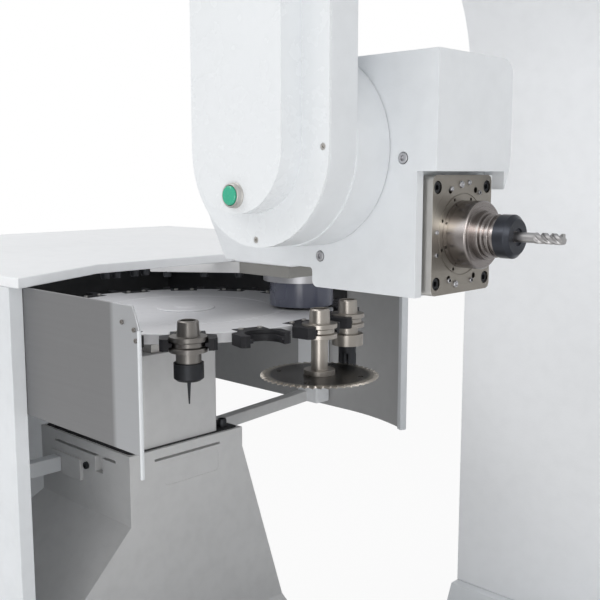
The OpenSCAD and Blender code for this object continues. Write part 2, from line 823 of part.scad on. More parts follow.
// The head housing: a casting that carries the spindle, on a swivel shaft that runs in the arm's drum.
// Its back curves in below the swivel axis to the narrower block that holds the spindle.
module head_housing() {
    back = head_y + housing_back;
    low = swivel_z - housing_low;
    top = swivel_z + housing_up;
    block_y = head_y + plate_w / 2 - 2;
    block_a = acos((block_y - back + housing_curve) / housing_curve);
    bore_x0 = head_x - housing_left + 30;
    color(white_paint)
        difference() {
            union() {
                intersection() {
                    along_y(joint_y, back)
                        polygon(housing_outline());
                    along_x(head_x - housing_left - cut, housing_x1 + cut)
                        polygon(concat([[joint_y - cut, low - cut], [block_y, low - cut]],
                            arc_pts(back - housing_curve, swivel_z, housing_curve, -block_a, 0, 12),
                            arc_pts(back - 20, top - 20, 20, 0, 90, 4), [[joint_y - cut, top]]));
                }
                translate([head_x, 0, swivel_z])
                    bar_y(swivel_shaft_d, joint_y - swivel_depth + 4, joint_y + cut);
            }
            // stepped bore for the spindle cartridge
            translate([0, head_y, spindle_z]) {
                bar_x(rear_d + 2 * run_gap, bore_x0, housing_x1 + cut);
                bar_x(bearing_d + 2 * run_gap, cartridge_step, housing_x1 + cut);
            }
            for (p = housing_bolt_at)
                translate([p[0], 0, p[1]])
                    bar_y(15, joint_y - cut, joint_y + 9);
            // recess that the flange plate sits in
            block(plate_x0, housing_x1 + cut, head_y - plate_w / 2 - plate_gap,
                head_y + plate_w / 2 + plate_gap, spindle_z - plate_h / 2 - 2,
                spindle_z + plate_h / 2 + plate_gap);
            // shallow parting line above the plate
            block(housing_x1 - 1.5, housing_x1 + cut, joint_y + plate_gap, back - 12,
                spindle_z + plate_h / 2 + plate_gap, spindle_z + plate_h / 2 + plate_gap + 1.5);
        }
}

module housing_bolts() {
    color(black_steel)
        for (p = housing_bolt_at)
            translate([p[0], joint_y + 9, p[1]])
                rotate([90, 0, 0])
                    socket_head(bolt_head_d, 8.4);
}

// Places its children at the flange plate's four corner bolts, facing along X
module at_plate_bolts(x) {
    reach_y = plate_w / 2 - bolt_inset_y;
    reach_z = plate_h / 2 - bolt_inset_z;
    for (sy = [-1, 1])
        for (sz = [-1, 1])
            translate([x, head_y + sy * reach_y, spindle_z + sz * reach_z])
                rotate([0, 90, 0])
                    children();
}

// The flange plate: turned steel with bevelled corners, counterbores, jacking holes, a ring groove
// and a pitch circle of threaded holes round the nose
module flange_plate() {
    jack_y = 26;
    jack_z = 51;
    color(steel)
        difference() {
            along_x(plate_x0, plate_x1)
                polygon(round_rect(head_y - plate_w / 2, spindle_z - plate_h / 2,
                    head_y + plate_w / 2, spindle_z + plate_h / 2, 7, 2));
            translate([0, head_y, spindle_z])
                bar_x(shaft_d + 6, plate_x0 - cut, plate_x1 + cut);
            at_plate_bolts(plate_x1 - counterbore_deep)
                cylinder(d = counterbore_d, h = counterbore_deep + cut);
            for (sy = [-1, 1])
                for (sz = [-1, 1])
                    translate([0, head_y + sy * jack_y, spindle_z + sz * jack_z])
                        bar_x(7, plate_x1 - 10, plate_x1 + cut);
            for (i = [0:7])
                translate([0, head_y + pitch_circle_r * cos(22.5 + 45 * i),
                    spindle_z + pitch_circle_r * sin(22.5 + 45 * i)])
                    bar_x(4, plate_x1 - 8, plate_x1 + cut);
            // groove between the plate and the turned nose flange
            translate([0, head_y, spindle_z])
                difference() {
                    bar_x(nose_d + 17, plate_x1 - 0.8, plate_x1 + cut);
                    bar_x(nose_d + 14.6, plate_x1 - 2, plate_x1 + 2);
                }
        }
}

module flange_bolts() {
    color(black_steel)
        at_plate_bolts(plate_x1 - counterbore_deep)
            socket_head(bolt_head_d, 7);
}

// The spindle cartridge: bearing rings and motor winding as one stepped sleeve in the housing's bore
module spindle_cartridge() {
    back_x = head_x - housing_left + 40;
    color(steel)
        translate([0, head_y, spindle_z])
            difference() {
                union() {
                    bar_x(rear_d, back_x, cartridge_step + cut);
                    bar_x(bearing_d, cartridge_step, plate_x0);
                }
                bar_x(shaft_d + 2 * run_gap, back_x - cut, plate_x0 + cut);
                bar_x(shaft_d + 12, cartridge_step + rotor_inset - 2, plate_x0 - rotor_inset + 2);
            }
}

// The fixed nose ring round the spindle's end
module nose_ring() {
    color(steel)
        translate([plate_x1, head_y, spindle_z])
            rotate([0, 90, 0])
                rotate_extrude()
                    polygon([[shaft_d / 2 - 2 + run_gap, 0], [nose_d / 2, 0], [nose_d / 2, nose_l - 2],
                        [nose_d / 2 - 1.5, nose_l - 0.5], [nose_d / 2 - 6, nose_l - 0.5],
                        [nose_d / 2 - 6, nose_l], [shaft_d / 2 - 2 + run_gap, nose_l]]);
}

// The spindle shaft with its rotor, a running fit in the cartridge and the nose ring
module spindle_shaft() {
    back_x = head_x - housing_left + 44;
    color(steel)
        translate([0, head_y, spindle_z])
            difference() {
                union() {
                    bar_x(shaft_d, back_x, housing_x1);
                    bar_x(shaft_d + 10, cartridge_step + rotor_inset, plate_x0 - rotor_inset);
                    bar_x(shaft_d - 4, housing_x1 - cut, shaft_x1);
                }
                bar_x(shank_d + 2 * run_gap, shaft_x1 - shank_l - 4, shaft_x1 + cut);
            }
}

// Places its children on the spindle's end face, with Z along the spindle axis
module at_spindle(along) {
    translate([shaft_x1 + along, head_y, spindle_z])
        rotate([0, 90, 0])
            children();
}

// The holder in the spindle: a hollow taper shank inside the shaft, a grooved flange and a nose
module spindle_holder() {
    wall = groove_d / 2;
    neck_d = 44;
    neck_x = holder_flange_l + holder_neck_l;
    core_x = neck_x + nut_l - 3;
    color(steel)
        at_spindle(0)
            rotate_extrude()
                polygon([[0, -4], [13, -4], [13, -shank_l], [shank_d / 2 - 2, -shank_l],
                    [shank_d / 2, 0], [flange_d / 2, 0], [flange_d / 2, 4], [wall, 5.5], [wall, 8],
                    [flange_d / 2, 9.5], [flange_d / 2, holder_flange_l], [neck_d / 2, holder_flange_l],
                    [neck_d / 2, neck_x], [16, neck_x], [16, core_x], [0, core_x]]);
}

// The collet nut in the spindle: a chamfered cap that grips the tool
module spindle_nut() {
    color(black_steel)
        at_spindle(holder_flange_l + holder_neck_l)
            rotate_extrude()
                polygon([[16, 0], [nut_d / 2, 0], [nut_d / 2, nut_l - 5], [nut_d / 2 - 5, nut_l],
                    [mill_d / 2 + 4, nut_l], [mill_d / 2 + 4, nut_l - 2], [mill_d / 2, nut_l - 3],
                    [16, nut_l - 3]]);
}

module end_mill() {
    color(steel)
        at_spindle(holder_flange_l + holder_neck_l + nut_l - 3)
            fluted_mill(mill_d, mill_l + 3);
}

// A cutter standing on z = 0: a plain shank, then four flutes
module fluted_mill(d, length) {
    flutes = 4;
    plain = length * 0.4;
    cylinder(d = d, h = plain);
    difference() {
        translate([0, 0, plain])
            cylinder(d = d, h = length - plain);
        for (i = [0:flutes - 1])
            rotate([0, 0, i * 360 / flutes])
                translate([d * 0.52, 0, plain + 2])
                    cylinder(d = d * 0.42, h = length);
    }
}

// The tray: a shallow pan beside the bed that the magazine stands on
module base_tray() {
    x1 = bed_x0;
    y0 = panel_plane - sheet_t;
    y1 = rear_plane + 2 * sheet_t;
    color(grey_paint)
        difference() {
            block(x_left, x1, y0, y1, foot_h, foot_h + tray_h);
            block(x_left + sheet_t, x1 - sheet_t, y0 + sheet_t, y1 - sheet_t, tray_floor,
                foot_h + tray_h + cut);
        }
}

// The pedestal: a top plate on a narrower neck over a body that flares to the tray
module pedestal() {
    x0 = pedestal_x0;
    x1 = pedestal_x0 + pedestal_w;
    y0 = pedestal_y0;
    y1 = pedestal_y0 + pedestal_d;
    body_z = pedestal_z - ledge_t - neck_t;
    color(grey_paint)
        difference() {
            union() {
                translate([0, 0, pedestal_z - ledge_t])
                    linear_extrude(ledge_t)
                        polygon(round_rect(x0, y0, x1, y1, 10));
                block(x0 + neck_in, x1 - neck_in, y0 + neck_in, y1 - neck_in, body_z - cut,
                    pedestal_z - ledge_t + cut);
                intersection() {
                    along_y(y0 - pedestal_flare, y1 + pedestal_flare)
                        polygon([[x0 - pedestal_flare, tray_floor], [x0 - pedestal_flare, tray_floor + 60],
                            [x0 - 12, body_z - 140], [x0, body_z], [x1, body_z], [x1 + 12, body_z - 140],
                            [x1 + pedestal_flare, tray_floor + 60], [x1 + pedestal_flare, tray_floor]]);
                    along_x(x0 - pedestal_flare, x1 + pedestal_flare)
                        polygon([[y0 - pedestal_flare, tray_floor], [y0 - pedestal_flare, tray_floor + 60],
                            [y0 - 12, body_z - 140], [y0, body_z], [y1, body_z], [y1 + 12, body_z - 140],
                            [y1 + pedestal_flare, tray_floor + 60], [y1 + pedestal_flare, tray_floor]]);
                }
                // boss that the brace bar meets
                block(brace_x - 24, brace_x + 24, y0 - boss_out, y0 + 20, brace_z - 4, brace_z + 34);
                // boss that the support rail meets
                block(post_x - 32, post_x + 32, y1 - 20, y1 + boss_out, rail_z - 8, rail_z + rail_tube + 4);
            }
            // hatch recess on the right side
            along_x(x1 - 6, x1 + 60)
                polygon(round_rect(y0 + 50, body_z - 120, y1 - 50, body_z - 26, 10));
        }
}

// The carousel's box column on the pedestal
module carousel_column() {
    color(grey_paint)
        difference() {
            translate([0, 0, pedestal_z])
                linear_extrude(carcol_top - pedestal_z)
                    polygon(round_rect(carcol_x0, carcol_y0, carcol_x1, carcol_y1, 8, 3));
            along_x(carcol_x1 - 2, carcol_x1 + cut)
                polygon(round_rect(carcol_y0 + 20, pedestal_z + 20, carcol_y1 - 20, carcol_top - 20, 8, 3));
        }
}

// The carousel's bearing housing: a flanged ring on the box column, offset over its back edge
module bearing_housing() {
    color(steel)
        difference() {
            union() {
                translate([carousel_x, carousel_y, carcol_top])
                    cylinder(d = hub_d, h = housing_h);
                block(carcol_x0 + 30, carcol_x1 - 10, carcol_y0 + 30, carcol_y1, carcol_top,
                    carcol_top + 16);
            }
            translate([carousel_x, carousel_y, carcol_top + 4])
                cylinder(d = hub_shaft_d + 2 * run_gap, h = housing_h);
        }
}

// The front panel: a painted sheet whose right edge folds back and in, from the tray up to the roof
module front_panel() {
    x1 = carousel_x + panel_x;
    back = carousel_y - shield_y - sheet_t;
    lip = 24;
    color(white_paint)
        translate([0, 0, tray_floor])
            linear_extrude(roof_low - tray_floor)
                polygon([[x_left + sheet_t, panel_plane], [x1, panel_plane], [x1, back], [x1 - lip, back],
                    [x1 - lip, back - sheet_t], [x1 - sheet_t, back - sheet_t],
                    [x1 - sheet_t, panel_plane + sheet_t], [x_left + sheet_t, panel_plane + sheet_t]]);
}

module side_panel() {
    color(white_paint)
        block(x_left, x_left + sheet_t, panel_plane, rear_plane + sheet_t, foot_h + tray_h, roof_low);
}

// The rear guard: a flat back wall that runs into a curve about the carousel's axis
module rear_guard() {
    color(grey_paint)
        translate([0, 0, guard_z])
            linear_extrude(roof_low - guard_z)
                polygon(concat([[x_left + sheet_t, rear_plane], [carousel_x, rear_plane]],
                    arc_pts(carousel_x, carousel_y, guard_r, 90, guard_end, 8),
                    arc_pts(carousel_x, carousel_y, guard_r + sheet_t, guard_end, 90, 8),
                    [[x_left + sheet_t, rear_plane + sheet_t]]));
}

// The upright tube that stiffens the curved guard's free edge
module guard_edge_post() {
    post = 16;
    color(white_paint)
        translate([carousel_x, carousel_y, guard_z])
            rotate([0, 0, guard_end])
                block(guard_r - post / 2, guard_r + post / 2, -post, -0.1, 0, roof_low - guard_z);
}

// The roof: a slab with a slanted front corner and a notch where the tools are taken out
module roof() {
    notch_x = carousel_x + 115;
    drive_edge = carousel_y + 28;
    right = carousel_x + 270;
    end_x = carousel_x + (guard_r + sheet_t) * cos(guard_end);
    end_y = carousel_y + (guard_r + sheet_t) * sin(guard_end);
    color(white_paint)
        translate([0, 0, roof_low])
            linear_extrude(roof_t)
                polygon(concat([[x_left, panel_plane], [carousel_x + panel_x, panel_plane],
                    [notch_x - 5, carousel_y - 274], [notch_x, drive_edge], [right, drive_edge],
                    [right, end_y - 20], [end_x + 14, end_y]],
                    arc_pts(carousel_x, carousel_y, guard_r + sheet_t + 2, guard_end, 90, 8),
                    [[x_left, rear_plane + sheet_t + 2]]));
}

// Black cap screws under the roof's notch edge and on the front guard plate
module magazine_screws() {
    y1 = carousel_y - shield_y;
    color(black_steel) {
        for (i = [0:5])
            translate([carousel_x + 85, carousel_y - 230 + i * 42, roof_low])
                rotate([180, 0, 0])
                    socket_head(16, 10);
        for (p = shield_screw_at)
            translate([p[0], y1 - sheet_t, p[1]])
                rotate([90, 0, 0])
                    socket_head(9, 2.6);
    }
}

// The front guard plate: a sheet with a cut corner and a longer folded strip at its right edge
module shield_plate() {
    x0 = carousel_x + 180;
    x1 = carousel_x + shield_x;
    y1 = carousel_y - shield_y;
    z1 = roof_low - 4;
    z0 = z1 - shield_h;
    strip = 46;
    color(grey_paint)
        along_y(y1 - sheet_t, y1)
            polygon([[x0, z0], [x1 - 6, z0 - 1], [x1 - 6, z0 - strip], [x1, z0 - strip],
                [x1, z1 - 32], [x1 - 14, z1], [x0, z1]]);
}

// The drive plate: a thick beige plate under the roof that the index drive hangs from
module drive_plate() {
    color(beige_paint)
        block(carousel_x + 128, carousel_x + 262, carousel_y + 30, drive_y + 70, drive_top + drive_flange_t,
            roof_low);
}

module drive_flange() {
    color(steel)
        translate([drive_x, drive_y, drive_top])
            difference() {
                cylinder(d = drive_d + 26, h = drive_flange_t);
                for (i = [0:7])
                    rotate([0, 0, i * 45 + 22.5])
                        translate([drive_d / 2 + 6, 0, -cut])
                            cylinder(d = 6, h = 6);
            }
}

// The index drive: a round gear motor whose skirt guards the pinion and opens towards the ring gear
module index_drive() {
    skirt_top = disc_z + 28;
    skirt_t = 6;
    ring_r = ring_teeth * gear_module / 2 + gear_module;
    color(navy_paint)
        difference() {
            translate([drive_x, drive_y, drive_low])
                cylinder(d = drive_d, h = drive_top - drive_low);
            translate([drive_x, drive_y, drive_low - cut])
                cylinder(d = drive_d - 2 * skirt_t, h = skirt_top - drive_low + cut);
            translate([carousel_x, carousel_y, drive_low - cut])
                cylinder(r = ring_r + 3, h = ring_h + 4);
            translate([drive_x, drive_y, skirt_top - cut])
                cylinder(d = 20 + 2 * run_gap, h = 14);
        }
}

module index_pinion() {
    skirt_top = disc_z + 28;
    color(steel)
        translate([drive_x, drive_y, disc_z + 3])
            union() {
                rotate([0, 0, drive_angle + 180 + 180 / pinion_teeth])
                    linear_extrude(pinion_h)
                        polygon(gear_pts(pinion_teeth, gear_module, 0.35));
                translate([0, 0, pinion_h - cut])
                    cylinder(d = 20, h = skirt_top - disc_z - 3 - pinion_h + 11);
            }
}

module rear_post() {
    color(white_paint)
        difference() {
            block(post_x - post_w / 2, post_x + post_w / 2, rear_plane - post_w - 4, rear_plane - 4,
                tray_floor, roof_low);
            block(post_x - post_w / 2 + 4, post_x + post_w / 2 - 4, rear_plane - post_w, rear_plane - 8,
                tray_floor + 6, roof_low - 6);
        }
}

module support_rail() {
    color(grey_paint)
        block(post_x - rail_tube / 2, post_x + rail_tube / 2, pedestal_y0 + pedestal_d + boss_out,
            rear_plane - post_w - 4, rail_z, rail_z + rail_tube);
}

module brace_bar() {
    color(white_paint)
        block(brace_x - 8, brace_x + 8, panel_plane + sheet_t, pedestal_y0 - boss_out,
            brace_z, brace_z + 26);
}

// The carousel disc: a plate with a stepped seat for every fork, ribs and lightening holes
module carousel_disc() {
    color(grey_paint)
        translate([carousel_x, carousel_y, disc_z - disc_t])
            difference() {
                cylinder(r = disc_r, h = disc_t, $fn = 128);
                translate([0, 0, -cut])
                    cylinder(d = hub_stub_d + 2 * run_gap, h = disc_t + 2 * cut);
                for (i = [0:place_n - 1])
                    rotate([0, 0, place_start + i * place_step])
                        translate([root_r, -root_w / 2, disc_t - root_t])
                            cube([disc_r, root_w, root_t + cut]);
                for (i = [0:7])
                    rotate([0, 0, 45 * i + 10])
                        translate([118, 0, -cut])
                            cylinder(d = 56, h = disc_t + 2 * cut);
            }
}

// The carousel's turned shaft: a journal in the bearing, a stub through the disc and a cap on top
module carousel_shaft() {
    cap_d = 116;
    color(steel)
        translate([carousel_x, carousel_y, 0])
            rotate_extrude()
                polygon([[0, carcol_top + 6], [hub_shaft_d / 2, carcol_top + 6],
                    [hub_shaft_d / 2, disc_z - disc_t], [hub_stub_d / 2, disc_z - disc_t],
                    [hub_stub_d / 2, disc_z], [cap_d / 2, disc_z], [cap_d / 2, disc_z + 8],
                    [cap_d / 2 - 6, disc_z + 14], [24, disc_z + 14], [20, disc_z + 22],
                    [0, disc_z + 22]]);
}

module ring_gear() {
    ring_in = ring_teeth * gear_module / 2 - 22;
    color(black_steel)
        translate([carousel_x, carousel_y, disc_z])
            rotate([0, 0, drive_angle])
                linear_extrude(ring_h)
                    difference() {
                        polygon(gear_pts(ring_teeth, gear_module, 0.35));
                        circle(r = ring_in);
                    }
}

// One gripper fork along +X: a root on the disc and two fingers round the tool's groove
module fork() {
    wide = flange_d / 2 + fork_gap + 0.3;
    grip = groove_d / 2 + fork_gap;
    tip = place_r + 15;
    shoulder = disc_r + 2;
    difference() {
        union() {
            translate([root_r + seat_gap, -root_w / 2 + seat_gap, disc_z - root_t])
                cube([shoulder - root_r, root_w - 2 * seat_gap, root_t]);
            translate([0, 0, disc_z - fork_t])
                linear_extrude(fork_t)
                    polygon([[shoulder, -root_w / 2], [shoulder + 8, -fork_w / 2], [tip - 6, -fork_w / 2],
                        [tip, -fork_w / 2 + 6], [tip, fork_w / 2 - 6], [tip - 6, fork_w / 2],
                        [shoulder + 8, fork_w / 2], [shoulder, root_w / 2]]);
        }
        // mouth for the groove of the tool holder
        translate([place_r, 0, disc_z - fork_t - cut])
            cylinder(r = grip, h = fork_t + 2 * cut);
        block(place_r, tip + cut, -grip, grip, disc_z - fork_t - cut, disc_z + cut);
        // wider room for the holder's flange above and below the lip
        for (z = [disc_z - fork_t - cut, fork_z + lip_t / 2]) {
            translate([place_r, 0, z])
                cylinder(r = wide, h = (fork_t - lip_t) / 2 + cut);
            block(place_r, tip + cut, -wide, wide, z, z + (fork_t - lip_t) / 2 + cut);
        }
    }
}

module tool_forks() {
    color(black_steel)
        translate([carousel_x, carousel_y, 0])
            for (i = [0:place_n - 1])
                rotate([0, 0, place_start + i * place_step])
                    fork();
}

module fork_screws() {
    color(steel)
        translate([carousel_x, carousel_y, disc_z])
            for (i = [0:place_n - 1])
                for (y = [-18, 18])
                    rotate([0, 0, place_start + i * place_step])
                        translate([root_r + 14, y, 0])
                            socket_head(9, 3);
}

// Places its children at a tool place's axis, with z counted from the floor
module at_place(i) {
    translate([carousel_x, carousel_y, 0])
        rotate([0, 0, place_start + i * place_step])
            translate([place_r, 0, 0])
                children();
}

// A hollow taper shank holder hanging in a fork: shank up, grooved flange, then a body down to low_z
module holder(body_d, low_z) {
    rotate_extrude()
        polygon([[0, low_z], [body_d / 2, low_z], [body_d / 2, holder_low], [flange_d / 2, holder_low],
            [flange_d / 2, fork_z - groove_t / 2 - 2], [groove_d / 2, fork_z - groove_t / 2],
            [groove_d / 2, fork_z + groove_t / 2], [flange_d / 2, fork_z + groove_t / 2 + 2],
            [flange_d / 2, holder_top], [shank_d / 2, holder_top],
            [shank_d / 2 - 1.2, holder_top + shank_l - 2], [shank_d / 2 - 3.2, holder_top + shank_l],
            [13, holder_top + shank_l], [13, holder_top + 4], [0, holder_top + 4]]);
}

module drill_holder() {
    color(steel)
        at_place(0)
            holder(42, drill_low + drill_nut_h);
}

module drill_nut() {
    color(black_steel)
        at_place(0)
            translate([0, 0, drill_low])
                rotate_extrude()
                    polygon([[7, 0], [nut_d / 2 - 5, 0], [nut_d / 2, 4], [nut_d / 2, drill_nut_h],
                        [7, drill_nut_h]]);
}

module drill_bit() {
    bit_d = 14;
    color(steel)
        at_place(0)
            translate([0, 0, drill_low - drill_out])
                rotate_extrude()
                    polygon([[0, 0], [bit_d * 0.25, 0], [bit_d / 2 - 1, 12], [bit_d / 2, 14],
                        [bit_d / 2, drill_out + drill_nut_h - 4], [0, drill_out + drill_nut_h - 4]]);
}

module saw_arbor() {
    color(steel)
        at_place(2) {
            holder(30, saw_z + saw_t / 2 + 8);
            translate([0, 0, saw_z + saw_t / 2])
                cylinder(d = 56, h = 8 + cut);
            translate([0, 0, saw_z - saw_t / 2 - 14])
                cylinder(d = 22, h = saw_t + 14 + cut);
        }
}

// Outline of a saw blade: one slanted tooth after another round the rim
function saw_pts(r, teeth, deep) = [
    for (i = [0:teeth - 1])
    let (pitch = 360 / teeth)
    for (p = [[r, 0], [r - deep, 0.12], [r - deep, 0.38], [r - 1.5, 0.86]])
    let (a = (i + p[1]) * pitch) [p[0] * cos(a), p[0] * sin(a)]];

module saw_blade() {
    color(steel)
        at_place(2)
            translate([0, 0, saw_z - saw_t / 2])
                linear_extrude(saw_t)
                    difference() {
                        polygon(saw_pts(saw_d / 2, saw_teeth, 9));
                        circle(d = 22 + 2 * run_gap);
                        for (i = [0:3])
                            rotate(i * 90 + 20)
                                translate([saw_d * 0.36, 0])
                                    circle(d = 9);
                    }
}

module cutter_holder() {
    color(steel)
        at_place(3)
            union() {
                holder(40, cutter_low + 40);
                translate([0, 0, cutter_low + 42])
                    cylinder(d = 60, h = 22);
            }
}

module shell_cutter() {
    cutter_d = 34;
    cutter_h = 58;
    color(black_steel)
        at_place(3)
            translate([0, 0, cutter_low + 40 - cutter_h])
                difference() {
                    cylinder(d = cutter_d, h = cutter_h);
                    for (i = [0:3])
                        rotate([0, 0, i * 90])
                            translate([cutter_d * 0.5, 0, -cut])
                                cylinder(d = 11, h = cutter_h - 12);
                }
}

bed();
work_table();
levelling_feet();
column();
x_rails();
x_motor();
base_tray();
pedestal();
carousel_column();
bearing_housing();
front_panel();
side_panel();
rear_guard();
guard_edge_post();
roof();
magazine_screws();
shield_plate();
drive_plate();
drive_flange();
index_drive();
rear_post();
support_rail();
brace_bar();
carousel_disc();
carousel_shaft();
ring_gear();
tool_forks();
fork_screws();
drill_holder();
drill_nut();
drill_bit();
saw_arbor();
saw_blade();
cutter_holder();
shell_cutter();
index_pinion();
saddle();
saddle_carriages();
ram();
y_rails();
z_carriages();
upright_slide();
z_rails();
turning_unit();
yoke_arm();
arm_cover();
cover_screws();
button_bezel();
start_button();
swivel_bearing();
head_housing();
housing_bolts();
flange_plate();
flange_bolts();
spindle_cartridge();
nose_ring();
spindle_shaft();
spindle_holder();
spindle_nut();
end_mill();
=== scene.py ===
# %% [markdown]
# # A machining centre with a swivelling milling head and a wheel of tools
# This lesson dresses a CAD model for a close view. The solids come from the packed model and
# stay where they are. Blender adds the finishes, the rounded edges that catch the light, forms
# that are closer to the photograph than their solids, such as the casting of the head and the
# spiral flutes, and small fittings: plugs, screws, a fold and a seal.

# %% Load the packed model
import json
import math
import bmesh
import bpy
import numpy as np
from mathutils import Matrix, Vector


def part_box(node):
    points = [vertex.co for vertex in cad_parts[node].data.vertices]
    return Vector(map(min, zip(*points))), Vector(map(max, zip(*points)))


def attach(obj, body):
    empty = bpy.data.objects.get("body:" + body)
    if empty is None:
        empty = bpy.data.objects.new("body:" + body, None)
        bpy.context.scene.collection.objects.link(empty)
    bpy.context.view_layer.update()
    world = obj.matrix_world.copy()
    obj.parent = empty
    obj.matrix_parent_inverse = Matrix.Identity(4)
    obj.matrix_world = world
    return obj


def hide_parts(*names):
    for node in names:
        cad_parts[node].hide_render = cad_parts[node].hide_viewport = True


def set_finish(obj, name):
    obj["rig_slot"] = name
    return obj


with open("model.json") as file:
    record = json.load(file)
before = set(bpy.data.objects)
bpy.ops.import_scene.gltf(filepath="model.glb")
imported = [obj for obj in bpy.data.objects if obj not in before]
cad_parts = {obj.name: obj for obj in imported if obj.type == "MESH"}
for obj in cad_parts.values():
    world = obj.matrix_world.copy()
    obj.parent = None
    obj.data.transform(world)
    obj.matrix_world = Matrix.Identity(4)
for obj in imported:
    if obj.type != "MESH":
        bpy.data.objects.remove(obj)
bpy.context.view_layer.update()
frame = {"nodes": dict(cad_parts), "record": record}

# %% [markdown]
# The photograph is taken from about eye height, close to the right front of the machine, with
# a normal lens. The same camera stands here, so the sides of the milling head run to the same
# two vanishing points.

# %% The photograph's camera
EYE = (1.087, -1.207, 1.500)
TILT, HEADING = math.radians(81.94), math.radians(44.0)
LENS = 53.4

lens = bpy.data.cameras.new("photo_lens")
lens.lens, lens.sensor_width, lens.clip_end = LENS, 36.0, 60.0
camera = bpy.data.objects.new("photo_camera", lens)
camera.location, camera.rotation_euler = EYE, (TILT, 0.0, HEADING)
bpy.context.scene.collection.objects.link(camera)
bpy.context.scene.camera = camera
print("the camera stands at", EYE, "with a", LENS, "mm lens")

# %% [markdown]
# Shader sums read best as sums. One small class wraps a socket, and its operators add the Math
# nodes, so a mask can be written as 1 - edge * 0.5. Every other node comes from one method,
# which sets the node's own settings first and then its sockets.

# %% Sockets that can be added and multiplied
class Wire:
    """One value running through a material. Its operators add Math nodes behind it."""

    def __init__(self, finish, socket):
        self.finish, self.socket = finish, socket

    def sum(self, operation, *values):
        return self.finish.node("ShaderNodeMath", {"operation": operation}, dict(enumerate(values)))

    def __add__(self, other):
        return self.sum("ADD", self, other)

    def __sub__(self, other):
        return self.sum("SUBTRACT", self, other)

    def __rsub__(self, other):
        return self.sum("SUBTRACT", other, self)

    def __mul__(self, other):
        return self.sum("MULTIPLY", self, other)

    def __truediv__(self, other):
        return self.sum("DIVIDE", self, other)

    __radd__, __rmul__ = __add__, __mul__


class Finish:
    """A material on the workbench: its shader, and the methods that add nodes to it."""

    def __init__(self, name, color, roughness, metallic=0.0, **constants):
        self.material = bpy.data.materials.new(name)
        self.material.use_nodes = True
        self.tree = self.material.node_tree
        self.shader = self.tree.nodes["Principled BSDF"]
        self.set(**{"Base Color": color, "Roughness": roughness, "Metallic": metallic})
        self.set(**constants)
        self.place = self.node("ShaderNodeTexCoord", out="Object")

    def plug(self, socket, value):
        if isinstance(value, Wire):
            self.tree.links.new(value.socket, socket)
        elif hasattr(value, "__len__") and len(value) == 3 and len(socket.default_value) == 4:
            socket.default_value = (*value, 1.0)
        else:
            socket.default_value = value

    def set(self, **sockets):
        for name, value in sockets.items():
            self.plug(self.shader.inputs[name], value)

    def node(self, kind, settings=None, values=None, out=0):
        made = self.tree.nodes.new(kind)
        for name, value in (settings or {}).items():
            if name == "stops":
                while len(made.color_ramp.elements) < len(value):
                    made.color_ramp.elements.new(0.5)
                for stop, (where, level) in zip(made.color_ramp.elements, value):
                    stop.position, stop.color = where, (level, level, level, 1.0)
            else:
                setattr(made, name, value)
        for key, value in (values or {}).items():
            self.plug(made.inputs[key], value)
        return Wire(self, made.outputs[out])

    def noise(self, scale, detail=2.0, where=None, **more):
        return self.node("ShaderNodeTexNoise", None,
                         {"Vector": where or self.place, "Scale": scale, "Detail": detail, **more})

    def ramp(self, value, *stops):
        return self.node("ShaderNodeValToRGB", {"stops": stops}, {0: value})

    def tint(self, mask, first, second):
        return self.node("ShaderNodeMix", {"data_type": "RGBA"}, {0: mask, 6: first, 7: second}, out=2)

    def bump(self, height, depth, distance=0.001):
        return self.node("ShaderNodeBump", None,
                         {"Strength": depth, "Distance": distance, "Height": height})


print("the socket class knows", [name for name in vars(Wire) if name.startswith("__")])

# %% [markdown]
# Machine paint is sprayed enamel, thick enough to level into a soft sheen with a faint orange
# peel. Large cloudy changes of tone are what tells it from plastic. One maker builds every
# paint from its colour, its roughness and the size of its peel.

# %% Paints
PEEL_SCALE, CLOUD_SCALE, DUST_SCALE = 260.0, 2.6, 38.0


def machine_paint(name, color, roughness=0.34, peel=0.16, cloud=0.06, coat=0.0):
    """Enamel: its colour is darkened by broad clouds and a fine speckle, its gloss is broken by
    the same speckle, and a very fine noise lifts the surface into orange peel."""
    paint = Finish(name, color, roughness, **{"Coat Weight": coat, "Coat Roughness": 0.12})
    clouds = paint.ramp(paint.noise(CLOUD_SCALE, 3.0), (0.35, 0.0), (0.68, 1.0))
    dust = paint.ramp(paint.noise(DUST_SCALE, 6.0), (0.42, 0.0), (0.7, 1.0))
    darker = tuple(c * (1 - 2.2 * cloud) for c in color)
    paint.set(**{"Base Color": paint.tint(clouds * 0.6 + dust * 0.25, color, darker),
                 "Roughness": roughness + clouds * 0.05 + dust * 0.06,
                 "Normal": paint.bump(paint.noise(PEEL_SCALE, 2.0), peel)})
    return paint


white_paint = machine_paint("white_enamel", (0.80, 0.825, 0.85))
# A lighter copy of the white enamel: on the roof, the column and the short rear post it is painted light,
# brighter than the other white parts.
bright_paint = machine_paint("bright_white_enamel", (0.93, 0.945, 0.965), cloud=0.04)
cover_white = machine_paint("white_cover_gloss", (0.84, 0.865, 0.885), 0.22, 0.05, 0.02, coat=0.3)
grey_paint = machine_paint("light_grey_enamel", (0.68, 0.68, 0.68), 0.42, 0.2, 0.08)
guard_paint = machine_paint("mid_grey_enamel", (0.50, 0.50, 0.50), 0.36, 0.12, 0.06)
wheel_paint = machine_paint("pale_wheel_enamel", (0.82, 0.82, 0.84), 0.28, 0.05, 0.05, coat=0.3)
# Near black: painted shade on the cabinet liner, and the dark seal on the pedestal.
shade_and_seal_black = machine_paint("dark_liner_foam", (0.030, 0.031, 0.033), 0.7, 0.5, 0.1)
beige_paint = machine_paint("beige_grey_enamel", (0.27, 0.265, 0.25), 0.42, 0.2, 0.08)
navy_paint = machine_paint("navy_enamel", (0.12, 0.13, 0.18), 0.25, 0.12, 0.08, coat=0.3)
print("nine paints are mixed")
